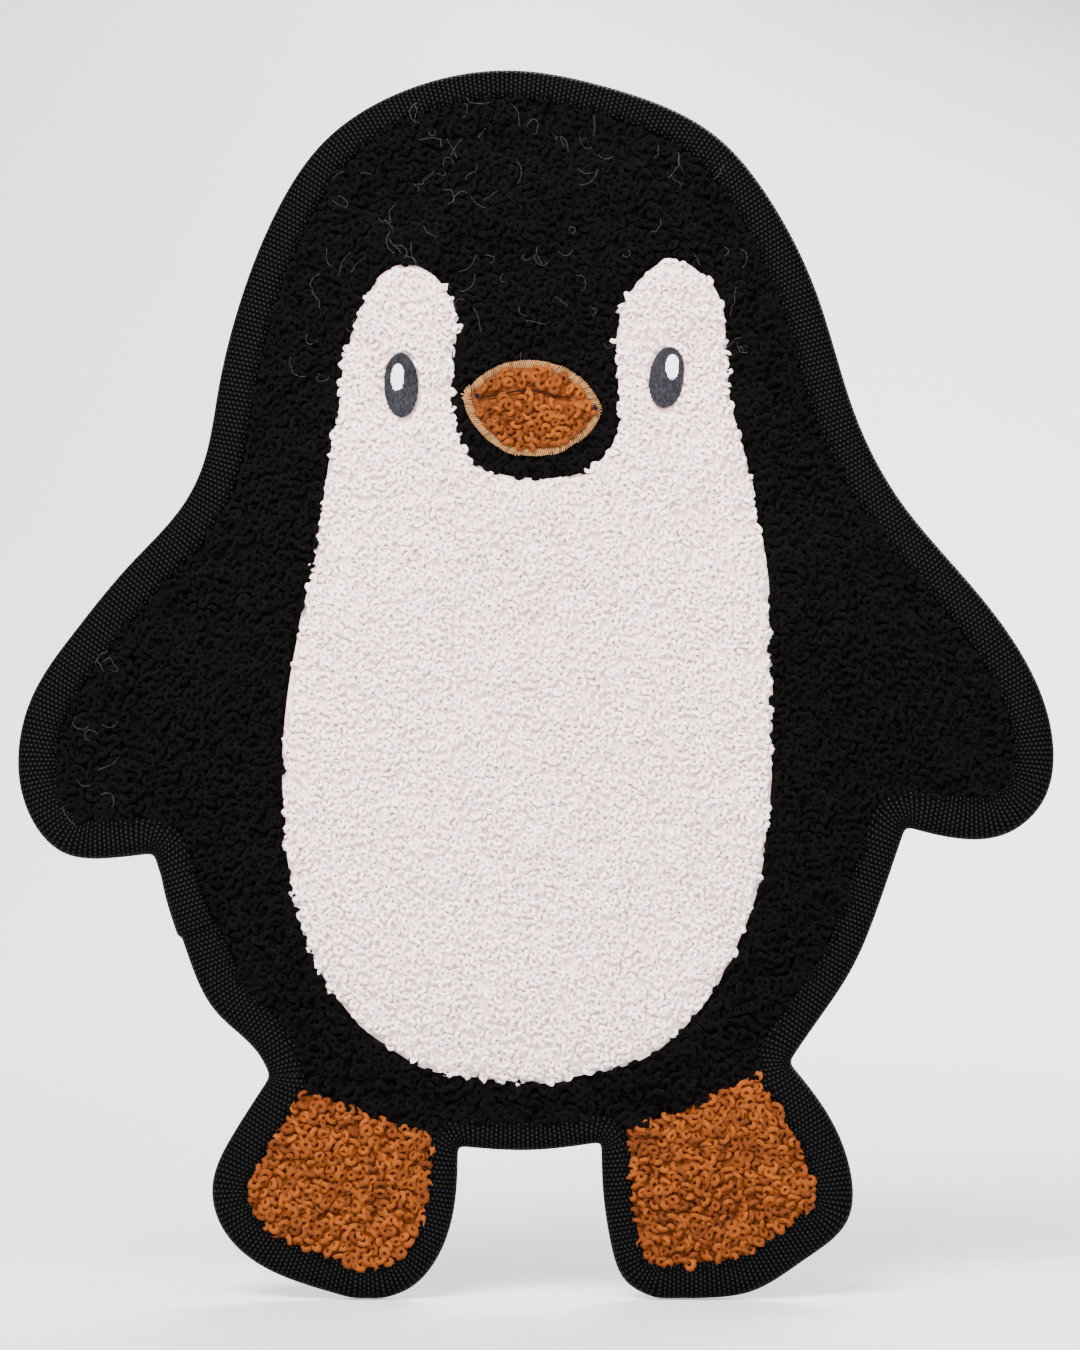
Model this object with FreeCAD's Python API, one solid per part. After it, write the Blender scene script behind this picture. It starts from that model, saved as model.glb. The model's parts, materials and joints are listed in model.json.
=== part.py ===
"""Flat plush penguin: two looped-pile panels over thin wadding and a squeaker, bound all round with woven tape.

The toy stands on its feet and faces -Y. +Z is up, -X is its left as seen from the front, and the origin is
midway across it, on the surface that it stands on. Units are millimetres.
"""

import FreeCAD
import Part

import math
import os

from FreeCAD import Vector

# Driving dimensions ---------------------------------------------------------------------------------------
TAPE_THICK = 1.0  # woven edge tape
TAPE_COVER = 9.5  # how far the folded tape reaches in from the edge
CLOTH_EDGE = 2.4  # a panel pressed flat under the tape
CLOTH_THICK = 3.4  # a panel with its pile standing
EDGE_GAP = 0.1  # from the middle plane to a panel under the tape
INNER_GAP = 1.4  # from the middle plane to a panel's back where the toy is flat
STUFFED_RISE = 10.0  # rise of the stuffed middle over the flat edge, on the front and on the back
DOME_CENTRE = (0.0, 158.0)  # middle of the stuffed body, across and up
DOME_HALF = (80.0, 124.0)  # its half width and half height
FOLD_RANGE = 45.0  # degrees that a flipper or foot folds each way
FOLD_GAP = 0.2  # from a fold's axis to the solids on either side
FIT = 0.15  # room between pieces that lie against each other
THREAD = 0.5  # sewing thread, as thick as it lies
STITCH_INSET = 8.2  # middle of the tape's stitch row, in from the edge
BEAK_TIPS = ((-18.0, 224.8), (16.3, 221.5))
BEAK_TOP = (-1.0, 233.8)
BEAK_BOTTOM = (0.5, 209.8)
BEAK_BORDER = 2.4  # width of the satin border
BEAK_THICK = 2.2
EYES = {  # centre, half width, half height, and lean in degrees towards +X
    "left_eye": ((-33.3, 227.3), 4.2, 7.7, -2.0),
    "right_eye": ((32.4, 229.3), 4.3, 7.4, 8.0),
}
HIGHLIGHTS = {
    "left_eye_highlight": ((-34.5, 230.3), 1.65, 3.4, -2.0),
    "right_eye_highlight": ((34.0, 232.0), 1.75, 2.9, 8.0),
}
EYE_THICK = 0.9  # satin embroidery
SQUEAKER_AT = (0.0, 140.0)
SQUEAKER_RADIUS = 21.0
SQUEAKER_HALF = 6.5  # half its thickness
SQUEAKER_WALL = 0.9
REED_RADIUS = 4.6
REED_LENGTH = 3.5
REED_SLIT = (0.8, 4.0)  # width and length of the slit that sounds

REACH = 60.0  # more than the toy's thickness
FLAT_PILE = INNER_GAP + CLOTH_THICK  # height of the pile over the middle plane where the toy is flat
TAPE_INNER = EDGE_GAP + CLOTH_EDGE + FIT  # from the middle plane to the inside of the tape's two legs
TAPE_OUTER = TAPE_INNER + TAPE_THICK
PANEL_EDGE = TAPE_THICK + FIT  # a panel's own edge, in from the outline
PANEL_OPEN = TAPE_COVER + FIT  # where a panel comes out from under the tape

# The outline, clockwise from the left foot's inner corner. Each stretch is a smooth curve, or a straight run
# where it has two points, and neighbouring stretches share an end.
OUTLINE = [
    # left foot
    [(-19.5, 38.0), (-20.2, 24.0), (-25.0, 9.5), (-32.0, 2.2), (-38.0, 0.0)],
    [(-38.0, 0.0), (-46.0, 0.0)],
    [(-46.0, 0.0), (-57.0, 3.2), (-69.5, 8.6), (-79.0, 18.5), (-81.0, 27.5), (-75.5, 41.5), (-66.5, 55.5)],
    # left side, up to the pit of the flipper
    [(-66.5, 55.5), (-69.0, 60.5), (-80.0, 71.5), (-87.5, 87.0), (-92.5, 101.5), (-95.6, 111.2)],
    # left flipper, head and right flipper
    [(-95.6, 111.2), (-106.0, 110.0), (-118.0, 111.2), (-127.2, 122.0), (-129.5, 135.0), (-126.0, 150.5),
     (-115.5, 166.5), (-101.5, 183.5), (-87.5, 199.5), (-83.6, 207.5), (-79.5, 227.0), (-74.2, 248.5),
     (-64.0, 273.5), (-53.2, 289.0), (-34.0, 301.5), (-6.0, 307.0), (18.0, 302.8), (45.5, 290.2),
     (58.0, 275.5), (70.5, 250.5), (80.0, 220.5), (91.0, 199.5), (106.0, 181.5), (121.5, 161.0),
     (129.3, 139.0), (127.0, 124.5), (117.0, 115.8), (106.0, 114.8), (92.4, 117.8)],
    # right side
    [(92.4, 117.8), (86.5, 100.5), (78.8, 82.0), (69.5, 68.0), (63.3, 59.0)],
    # right foot
    [(63.3, 59.0), (71.5, 48.5), (78.3, 33.5), (78.0, 19.5), (67.0, 9.5), (54.0, 1.7), (40.0, 0.0)],
    [(40.0, 0.0), (30.0, 0.0)],
    [(30.0, 0.0), (22.8, 3.8), (18.6, 14.0), (16.7, 27.0), (16.3, 39.0)],
    # between the feet
    [(16.3, 39.0), (-1.5, 37.0), (-19.5, 38.0)],
]

# Edge of the white belly panel, clockwise from the top of its left lobe, closed
BELLY = [
    (-31.5, 257.8), (-22.2, 252.5), (-19.2, 240.0), (-20.0, 218.5), (-14.5, 208.0), (-1.0, 204.0), (13.0, 206.5),
    (19.2, 215.0), (19.5, 233.0), (22.0, 249.5), (34.2, 259.3), (43.5, 253.5), (48.5, 228.0), (55.0, 198.0),
    (58.0, 160.0), (57.8, 121.5), (51.0, 90.5), (36.0, 67.5), (9.5, 55.2), (-20.0, 56.0), (-43.0, 67.5),
    (-57.0, 89.5), (-62.5, 118.0), (-61.0, 152.0), (-54.0, 193.0), (-49.5, 224.0), (-45.0, 245.0),
]

# Each lobe's fold line, from end to end, and a point inside the lobe
FOLDS = {
    "left_flipper": ((-85.2, 204.0), (-95.6, 111.2), (-110.0, 140.0)),
    "right_flipper": ((88.0, 204.5), (92.4, 117.8), (110.0, 140.0)),
    "left_foot": ((-66.5, 55.5), (-19.5, 38.0), (-50.0, 20.0)),
    "right_foot": ((63.3, 59.0), (16.3, 39.0), (50.0, 20.0)),
}

# The stretches of body tape between the lobes, each with a point on it
BODY_TAPES = {
    "head_binding": (-6.0, 303.0),
    "left_side_binding": (-84.0, 90.0),
    "right_side_binding": (78.0, 90.0),
    "crotch_binding": (-1.5, 41.0),
}


def flat(point):
    """A point of a pattern, on the middle plane."""
    return Vector(point[0], 0, point[1])


def smooth(points, closed=False):
    """A smooth edge through the points."""
    curve = Part.BSplineCurve()
    curve.interpolate([flat(p) for p in points], PeriodicFlag=closed)
    return curve.toShape()


def stretch(points):
    """One stretch of the outline: a straight run or a smooth curve."""
    if len(points) == 2:
        return Part.makeLine(flat(points[0]), flat(points[1]))
    return smooth(points)


def inset(face, distance):
    """The pattern drawn in from its edge, or let out where the distance is negative.

    Its edges are turned into plain splines, because a STEP file can't hold an offset curve.
    """
    return face.makeOffset2D(-distance).toNurbs()


def through(face):
    """The pattern as a block that runs through the whole toy, front to back."""
    block = face.copy()
    block.translate(Vector(0, -REACH, 0))
    return block.extrude(Vector(0, 2 * REACH, 0))


def between(low, high, side):
    """All the space from low to high over the middle plane, on the front (side -1) or the back (side 1)."""
    start = min(side * low, side * high)
    return Part.makeBox(300, high - low, 350, Vector(-150, start, -20))


def crown(x, z):
    """How far the stuffing lifts a panel at x, z: a dome that runs out flat at its rim."""
    r2 = ((x - DOME_CENTRE[0]) / DOME_HALF[0]) ** 2 + ((z - DOME_CENTRE[1]) / DOME_HALF[1]) ** 2
    return STUFFED_RISE * max(0.0, 1.0 - r2) ** 2


def crowned(height, side):
    """A sheet over the whole toy, that high over the middle plane plus the crown."""
    step = 10
    across = range(-140, 141, step)
    up = range(-20, 331, step)
    surface = Part.BSplineSurface()
    surface.interpolate([[Vector(x, side * (height + crown(x, z)), z) for z in up] for x in across])
    return surface.toShape()


def layer(low, high, side):
    """The crowned layer from low to high over the middle plane."""
    return crowned(low, side).extrude(Vector(0, side * (high - low), 0))


def ellipse(centre, half_width, half_height, lean):
    """An upright oval pattern, leaning towards +X by that many degrees."""
    turn = math.radians(lean)
    oval = Part.Ellipse(
        flat(centre) + Vector(half_height * math.sin(turn), 0, half_height * math.cos(turn)),
        flat(centre) + Vector(half_width * math.cos(turn), 0, -half_width * math.sin(turn)),
        flat(centre),
    )
    return Part.Face(Part.Wire([oval.toShape()]))


def fold_frame(name):
    """A fold's start, its length, the direction along it and the direction into its lobe."""
    start, end, inside = [flat(p) for p in FOLDS[name]]
    along = (end - start).normalize()
    outward = along.cross(Vector(0, 1, 0))
    if outward.dot(inside - start) < 0:
        outward = outward * -1
    return start, (end - start).Length, along, outward


def fold_wedge(name, lobe_side):
    """The space a lobe may fill, or (lobe_side False) the space its fold needs cut out of the body."""
    start, length, along, outward = fold_frame(name)
    deep = 2 * FLAT_PILE
    spread = deep * math.tan(math.radians(FOLD_RANGE / 2))
    sign = 1 if lobe_side else -1
    margin = 15.0
    far = 75.0
    section = [
        (sign * FOLD_GAP, 0), (sign * (FOLD_GAP + spread), deep), (far, deep),
        (far, -deep), (sign * (FOLD_GAP + spread), -deep), (sign * FOLD_GAP, 0),
    ]
    base = start - along * margin
    wire = Part.makePolygon([base + outward * out + Vector(0, y, 0) for out, y in section])
    return Part.Face(wire).extrude(along * (length + 2 * margin))


def export(name, *shapes):
    """Writes one node, made of one or more separate solids."""
    solids = [s for shape in shapes for s in shape.Solids]
    node = Part.Compound(solids) if len(solids) > 1 else solids[0]
    node.exportStep(f"parts/{name}.step")
    print(name, len(solids), "solids", round(sum(s.Volume for s in solids), 1), "mm3", node.isValid())


os.makedirs("parts", exist_ok=True)

# Patterns --------------------------------------------------------------------------------------------------
outline = Part.Face(Part.Wire([stretch(points) for points in OUTLINE]))
belly = Part.Face(Part.Wire([smooth(BELLY, closed=True)]))
open_zone = inset(outline, PANEL_OPEN)
edge_zone = inset(outline, PANEL_EDGE).cut(open_zone)
torso_cuts = [fold_wedge(name, False) for name in FOLDS]
lobe_cuts = {name: fold_wedge(name, True) for name in FOLDS}


# Panels and wadding ----------------------------------------------------------------------------------------
def panel(side):
    """A whole front or back: pressed flat under the tape, crowned inside it."""
    pressed = through(edge_zone).common(between(EDGE_GAP, EDGE_GAP + CLOTH_EDGE, side))
    open_part = through(open_zone).common(layer(INNER_GAP, FLAT_PILE, side))
    return pressed.fuse(open_part)


def wadding_half(side):
    """The wadding between the middle plane and one panel."""
    thickness = INNER_GAP - FIT
    filled = crowned(thickness, side).extrude(Vector(0, -side * REACH, 0))
    space = through(inset(outline, PANEL_OPEN + FIT)).common(between(0, REACH, side))
    return space.common(filled)


fronts = panel(-1)
backs = panel(1)
wadding = wadding_half(-1).fuse(wadding_half(1)).removeSplitter()

torso_front = fronts.cut(torso_cuts)
belly_gap = THREAD / 2 + FIT
export("front_body_panel", torso_front.cut(through(inset(belly, -belly_gap))))
export("belly_panel", through(inset(belly, belly_gap)).common(layer(INNER_GAP, FLAT_PILE, -1)))
seam_band = inset(belly, -THREAD / 2).cut(inset(belly, THREAD / 2))
export("belly_seam_thread", through(seam_band).common(layer(INNER_GAP, INNER_GAP + THREAD, -1)))
export("back_body_panel", backs.cut(torso_cuts))

# Squeaker --------------------------------------------------------------------------------------------------
def disc(radius, half):
    """A flat bladder with a rounded rim, around the squeaker's middle."""
    block = Part.makeCylinder(radius, 2 * half, flat(SQUEAKER_AT) - Vector(0, half, 0), Vector(0, 1, 0))
    rim = [e for e in block.Edges if e.isClosed() and e.Length > radius]
    return block.makeFillet(half * 0.8, rim)


reed_base = flat(SQUEAKER_AT) + Vector(0, SQUEAKER_HALF - REED_LENGTH, 0)
reed_hole = Part.makeCylinder(REED_RADIUS + FIT, REACH, reed_base, Vector(0, 1, 0))
bulb = disc(SQUEAKER_RADIUS, SQUEAKER_HALF).cut(disc(SQUEAKER_RADIUS - SQUEAKER_WALL, SQUEAKER_HALF - SQUEAKER_WALL))
export("squeaker_bulb", bulb.cut(reed_hole))
reed = Part.makeCylinder(REED_RADIUS, REED_LENGTH, reed_base, Vector(0, 1, 0))
slit = Part.makeBox(
    REED_SLIT[0], REACH, REED_SLIT[1],
    reed_base + Vector(-REED_SLIT[0] / 2, -REACH / 2, -REED_SLIT[1] / 2),
)
export("squeaker_reed", reed.cut(slit))
pocket = disc(SQUEAKER_RADIUS + FIT, SQUEAKER_HALF + FIT)
export("body_wadding", wadding.cut(torso_cuts).cut(pocket))

# Beak ------------------------------------------------------------------------------------------------------
beak_base = FLAT_PILE + FIT
upper_lip = Part.Arc(flat(BEAK_TIPS[0]), flat(BEAK_TOP), flat(BEAK_TIPS[1])).toShape()
lower_lip = Part.Arc(flat(BEAK_TIPS[1]), flat(BEAK_BOTTOM), flat(BEAK_TIPS[0])).toShape()
beak = Part.Face(Part.Wire([upper_lip, lower_lip]))
beak_inner = inset(beak, BEAK_BORDER)
export("beak_border", through(beak.cut(beak_inner)).common(layer(beak_base, beak_base + BEAK_THICK, -1)))
export("beak_patch", through(inset(beak, BEAK_BORDER + FIT)).common(layer(beak_base, beak_base + BEAK_THICK, -1)))
mouth = Part.Arc(flat((-14.0, 223.3)), flat((-4.0, 224.6)), flat((7.0, 222.6))).toShape()
mouth_low = mouth.copy()
mouth_low.translate(Vector(0, 0, -THREAD))
mouth_ends = [Part.makeLine(mouth.valueAt(p), mouth_low.valueAt(p)) for p in mouth.ParameterRange]
mouth_face = Part.Face(Part.Wire(Part.__sortEdges__([mouth, mouth_low] + mouth_ends)))
mouth_base = beak_base + BEAK_THICK + FIT
export("beak_mouth_stitch", through(mouth_face).common(layer(mouth_base, mouth_base + THREAD, -1)))

# Eyes ------------------------------------------------------------------------------------------------------
eye_base = FLAT_PILE + FIT
for name, shape in EYES.items():
    export(name, through(ellipse(*shape)).common(layer(eye_base, eye_base + EYE_THICK, -1)))
highlight_base = eye_base + EYE_THICK + FIT
for name, shape in HIGHLIGHTS.items():
    export(name, through(ellipse(*shape)).common(layer(highlight_base, highlight_base + THREAD, -1)))

# Edge tape and its stitching -------------------------------------------------------------------------------
def slab(half):
    """All the space within that distance of the middle plane."""
    return Part.makeBox(300, 2 * half, 350, Vector(-150, -half, -20))


tape = through(outline.cut(inset(outline, TAPE_COVER))).common(slab(TAPE_OUTER))
tape = tape.cut(through(inset(outline, TAPE_THICK)).common(slab(TAPE_INNER)))
stitch_band = inset(outline, STITCH_INSET - THREAD / 2).cut(inset(outline, STITCH_INSET + THREAD / 2))
stitch_base = TAPE_OUTER + FIT
stitches = through(stitch_band).common(between(stitch_base, stitch_base + THREAD, -1))
stitches = stitches.fuse(through(stitch_band).common(between(stitch_base, stitch_base + THREAD, 1)))


def by_distance(shape, point):
    """The shape's solids, the one that runs nearest to the point first."""
    probe = Part.Vertex(flat(point))
    return sorted(shape.Solids, key=lambda solid: solid.distToShape(probe)[0])


body_tape = tape.cut(torso_cuts)
body_stitches = stitches.cut(torso_cuts)
for name, point in BODY_TAPES.items():
    export(name, by_distance(body_tape, point)[0])
    export(f"{name}_stitch", *by_distance(body_stitches, point)[:2])

# Flippers and feet -----------------------------------------------------------------------------------------
for name, cut in lobe_cuts.items():
    export(f"{name}_front_panel", fronts.common(cut))
    export(f"{name}_back_panel", backs.common(cut))
    export(f"{name}_wadding", wadding.common(cut))
    export(f"{name}_binding", tape.common(cut))
    export(f"{name}_binding_stitch", stitches.common(cut))

# The joining thread along each foot's seam, just inside the body
for name in ("left_foot", "right_foot"):
    start, length, along, outward = fold_frame(name)
    seam = (THREAD, TAPE_COVER + 2.0)
    inward = FLAT_PILE * math.tan(math.radians(FOLD_RANGE / 2)) + THREAD
    corner = start + along * seam[1] - outward * (inward + seam[0]) - Vector(0, FLAT_PILE + FIT + THREAD, 0)
    thread = Part.makePolygon([corner, corner + outward * THREAD, corner + outward * THREAD + Vector(0, THREAD, 0),
                               corner + Vector(0, THREAD, 0), corner])
    export(f"{name}_seam_thread", Part.Face(thread).extrude(along * (length - 2 * seam[1])))
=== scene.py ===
"""Flat plush penguin: looped-pile cloths, stuffed like a thin cushion and bound round the edge with tape.

Metres, in the frame's axes: the face looks along -Y, +Z is up, and left names are the -X side.
"""
import functools
import json
import math

import bpy
import numpy as np
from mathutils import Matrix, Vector, noise
from mathutils.bvhtree import BVHTree
from mathutils.geometry import delaunay_2d_cdt


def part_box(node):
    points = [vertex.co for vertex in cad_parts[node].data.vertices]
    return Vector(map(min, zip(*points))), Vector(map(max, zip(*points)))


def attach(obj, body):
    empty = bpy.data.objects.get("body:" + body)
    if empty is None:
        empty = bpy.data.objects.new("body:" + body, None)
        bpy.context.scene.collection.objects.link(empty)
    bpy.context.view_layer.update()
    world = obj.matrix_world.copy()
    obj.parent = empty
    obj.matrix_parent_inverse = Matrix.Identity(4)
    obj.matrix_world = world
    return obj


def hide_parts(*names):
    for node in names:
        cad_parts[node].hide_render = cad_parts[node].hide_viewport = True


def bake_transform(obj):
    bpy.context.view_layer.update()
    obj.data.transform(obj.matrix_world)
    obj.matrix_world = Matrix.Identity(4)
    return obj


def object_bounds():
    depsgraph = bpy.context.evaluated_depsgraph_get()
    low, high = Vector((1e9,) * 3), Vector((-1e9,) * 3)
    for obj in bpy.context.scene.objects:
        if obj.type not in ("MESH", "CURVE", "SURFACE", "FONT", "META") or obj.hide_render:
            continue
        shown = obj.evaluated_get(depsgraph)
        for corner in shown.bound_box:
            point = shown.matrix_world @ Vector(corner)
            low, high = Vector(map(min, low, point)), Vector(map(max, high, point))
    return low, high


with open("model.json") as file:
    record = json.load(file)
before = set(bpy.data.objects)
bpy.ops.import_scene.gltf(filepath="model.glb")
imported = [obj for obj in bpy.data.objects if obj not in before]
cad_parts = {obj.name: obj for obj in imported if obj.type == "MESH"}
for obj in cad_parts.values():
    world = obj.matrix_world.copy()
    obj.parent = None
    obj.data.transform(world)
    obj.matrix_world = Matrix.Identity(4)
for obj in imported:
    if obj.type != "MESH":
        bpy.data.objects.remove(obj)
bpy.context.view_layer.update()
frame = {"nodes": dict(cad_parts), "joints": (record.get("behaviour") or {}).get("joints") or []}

MM = 0.001

# The paper pattern ---------------------------------------------------------------------------------------
# Front and back are cut to one outline, and everything else is marked out from it. Each point is across, up,
# and how far the edge tape covers the cloth there, in mm; stretches run clockwise and share their ends.
OUTLINE = [
    # left foot
    [(-19.5, 38.0, 7.5), (-20.2, 24.0, 7.5), (-25.0, 9.5, 8.0), (-32.0, 2.2, 8.5), (-38.0, 0.0, 8.7)],
    [(-38.0, 0.0, 8.7), (-46.0, 0.0, 8.7)],
    [(-46.0, 0.0, 8.7), (-57.0, 3.2, 9.0), (-69.5, 8.6, 9.3), (-79.0, 18.5, 9.5), (-81.0, 27.5, 9.5),
     (-75.5, 41.5, 9.7), (-66.5, 55.5, 9.5)],
    # left side, up to the pit of the flipper
    [(-66.5, 55.5, 9.5), (-69.0, 60.5, 9.5), (-80.0, 71.5, 10.3), (-87.5, 87.0, 10.5), (-92.5, 101.5, 9.2),
     (-95.6, 111.2, 9.2)],
    # left flipper, head and right flipper
    [(-95.6, 111.2, 9.2), (-106.0, 110.0, 9.6), (-118.0, 111.2, 9.8), (-127.2, 122.0, 9.8),
     (-129.5, 135.0, 10.0), (-126.0, 150.5, 10.0), (-115.5, 166.5, 10.0), (-101.5, 183.5, 10.0),
     (-87.5, 199.5, 9.8), (-83.6, 207.5, 9.6), (-79.5, 227.0, 9.4), (-74.2, 248.5, 9.2),
     (-64.0, 273.5, 8.8), (-53.2, 289.0, 8.4), (-34.0, 301.5, 7.7), (-6.0, 307.0, 7.5), (18.0, 302.8, 7.6),
     (45.5, 290.2, 8.0), (58.0, 275.5, 9.0), (70.5, 250.5, 9.8), (80.0, 220.5, 10.0), (91.0, 199.5, 9.4),
     (106.0, 181.5, 9.4), (121.5, 161.0, 9.8), (129.3, 139.0, 10.2), (127.0, 124.5, 10.6),
     (117.0, 115.8, 10.9), (106.0, 114.8, 10.8), (92.4, 117.8, 9.6)],
    # right side
    [(92.4, 117.8, 9.6), (86.5, 100.5, 9.0), (78.8, 82.0, 8.6), (69.5, 68.0, 8.6), (63.3, 59.0, 9.0)],
    # right foot
    [(63.3, 59.0, 9.0), (71.5, 48.5, 10.0), (78.3, 33.5, 10.6), (78.0, 19.5, 10.5), (67.0, 9.5, 10.0),
     (54.0, 1.7, 9.6), (40.0, 0.0, 9.3)],
    [(40.0, 0.0, 9.3), (30.0, 0.0, 8.8)],
    [(30.0, 0.0, 8.8), (22.8, 3.8, 7.8), (18.6, 14.0, 7.3), (16.7, 27.0, 7.3), (16.3, 39.0, 7.4)],
    # between the feet
    [(16.3, 39.0, 7.4), (-1.5, 37.0, 7.5), (-19.5, 38.0, 7.5)],
]
BELLY = [
    (-31.5, 257.8), (-22.2, 252.5), (-19.2, 240.0), (-20.0, 218.5), (-14.5, 208.0), (-1.0, 204.0),
    (13.0, 206.5), (19.2, 215.0), (19.5, 233.0), (22.0, 249.5), (34.2, 259.3), (43.5, 253.5), (48.5, 228.0),
    (55.0, 198.0), (58.0, 160.0), (57.8, 121.5), (51.0, 90.5), (36.0, 67.5), (9.5, 55.2), (-20.0, 56.0),
    (-43.0, 67.5), (-57.0, 89.5), (-62.5, 118.0), (-61.0, 152.0), (-54.0, 193.0), (-49.5, 224.0),
    (-45.0, 245.0),
]
BELLY_CUT_INSIDE = 0.8  # mm; the white pile spreads over its seam as far as the line above
CORNER_SOFTNESS = 1.1  # mm that a sewn corner is rounded by
EDGE_STEP, BELLY_STEP = 0.5, 2.2  # mm between the points of the edge and of the belly's seam


def smooth_run(points, count=400):
    """Points along the natural cubic spline through the given ones, which may have two or three columns."""
    p = np.array(points, float)
    t = np.concatenate([[0], np.cumsum(np.linalg.norm(np.diff(p[:, :2], axis=0), axis=1))])
    h = np.diff(t)
    system = np.eye(len(p))
    bends = np.zeros(p.shape)
    for i in range(1, len(p) - 1):
        system[i, i - 1:i + 2] = h[i - 1], 2 * (h[i - 1] + h[i]), h[i]
        bends[i] = 6 * ((p[i + 1] - p[i]) / h[i] - (p[i] - p[i - 1]) / h[i - 1])
    m = np.linalg.solve(system, bends)
    s = np.linspace(0, t[-1], count)
    k = np.clip(np.searchsorted(t, s, side="right") - 1, 0, len(p) - 2)
    a = ((t[k + 1] - s) / h[k])[:, None]
    b = 1 - a
    bow = (a ** 3 - a) * m[k] + (b ** 3 - b) * m[k + 1]
    return a * p[k] + b * p[k + 1] + bow * (h[k] ** 2)[:, None] / 6


def evened(line, step, closed=False):
    """The line again, with its points that far apart. All its columns are kept."""
    if closed:
        line = np.vstack([line, line[:1]])
    t = np.concatenate([[0], np.cumsum(np.linalg.norm(np.diff(line[:, :2], axis=0), axis=1))])
    count = max(2, int(round(t[-1] / step)) + 1)
    s = np.linspace(0, t[-1], count)
    if closed:
        s = s[:-1]
    return np.stack([np.interp(s, t, line[:, c]) for c in range(line.shape[1])], axis=1)


def softened(line, width):
    """A closed line with its corners rounded, by a bell-shaped average over that many of its points."""
    reach = int(3 * width) + 1
    steps = np.arange(-reach, reach + 1)
    weights = np.exp(-0.5 * (steps / width) ** 2)
    weights /= weights.sum()
    return sum(w * np.roll(line, -k, axis=0) for k, w in zip(steps, weights))


def closed_curve(points):
    """A smooth closed line through the points."""
    lap = 4
    run = smooth_run(points[-lap:] + points + points[:lap], 3000)
    first = np.argmin(np.linalg.norm(run[:1000] - np.array(points[0]), axis=1))
    last = 2000 + np.argmin(np.linalg.norm(run[2000:] - np.array(points[0]), axis=1))
    return run[first:last]


def offset_line(line, inset):
    """The closed line drawn in by a distance, one for each point or one for all."""
    ahead = np.roll(line[:, :2], -1, axis=0) - np.roll(line[:, :2], 1, axis=0)
    ahead /= np.linalg.norm(ahead, axis=1)[:, None]
    inward = np.stack([ahead[:, 1], -ahead[:, 0]], axis=1)
    return line[:, :2] + inward * np.reshape(inset, (-1, 1))


edge_fine = evened(np.vstack([smooth_run(run)[:-1] for run in OUTLINE]), EDGE_STEP, closed=True)
edge_fine = softened(edge_fine, CORNER_SOFTNESS / EDGE_STEP) * MM
belly_cut = offset_line(closed_curve(BELLY), BELLY_CUT_INSIDE)
belly_line = evened(belly_cut, BELLY_STEP, closed=True) * MM


def inside(points, loop):
    """Which of the points (across, up) lie inside the closed loop."""
    x, z = points[:, 0, None], points[:, 1, None]
    x0, z0 = loop[:, 0], loop[:, 1]
    x1, z1 = np.roll(x0, -1), np.roll(z0, -1)
    crosses = (z0 > z) != (z1 > z)
    at = x0 + (z - z0) * (x1 - x0) / np.where(z1 == z0, 1e-12, z1 - z0)
    return (np.sum(crosses & (x < at), axis=1) % 2) == 1


def distance(points, line):
    """From each point to the nearest point of the line, and that nearest point's number."""
    found = np.empty(len(points))
    nearest = np.empty(len(points), int)
    for i in range(0, len(points), 500):
        gap = np.linalg.norm(points[i:i + 500, None, :2] - line[None, :, :2], axis=2)
        nearest[i:i + 500] = gap.argmin(axis=1)
        found[i:i + 500] = gap.min(axis=1)
    return found, nearest


# Folds ---------------------------------------------------------------------------------------------------
# The flippers and feet flex at their roots. A cloth that crosses a root belongs to the body up to the
# first distance out from the fold's axis and to the flipper or foot past it; the second is not read.
BEND = {
    "left_flipper": (-0.009, 0.009),
    "right_flipper": (-0.009, 0.009),
    "left_foot": (0.0, 0.014),
    "right_foot": (0.0, 0.014),
}


def fold_of(lobe):
    """A point on the lobe's fold axis, the way along it and the way out into the lobe, across and up."""
    joint = next(j for j in frame["joints"] if j["child"] == lobe)
    pos = np.array([joint["pos_m"][0], joint["pos_m"][2]])
    along = np.array([joint["axis"][0], joint["axis"][2]])
    out = np.array([along[1], -along[0]])
    low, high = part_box(f"{lobe}_front_panel")
    middle = np.array([low[0] + high[0], low[2] + high[2]]) / 2
    return pos, along, out if out @ (middle - pos) > 0 else -out


def out_from_fold(points, lobe):
    """How far each point lies out from the lobe's fold axis, towards the lobe."""
    pos, _, out = fold_of(lobe)
    return (points[:, :2] - pos) @ out


def lobe_of(points):
    """For each point the name of the lobe whose cloth it is on, or torso."""
    names = np.full(len(points), "torso", dtype=object)
    for lobe, (start, _) in BEND.items():
        there = out_from_fold(points, lobe) > start
        if "foot" in lobe:
            there &= points[:, 0] * fold_of(lobe)[0][0] > 0
            there &= points[:, 1] < 0.07
        names[there] = lobe
    return names


def fasten(piece, part):
    """The piece rides on the body if it is on the torso; otherwise only its place is baked into its points.
    """
    if part == "torso":
        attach(piece, "torso")
        return
    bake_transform(piece)


PARTS = ["torso", *BEND]


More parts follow.
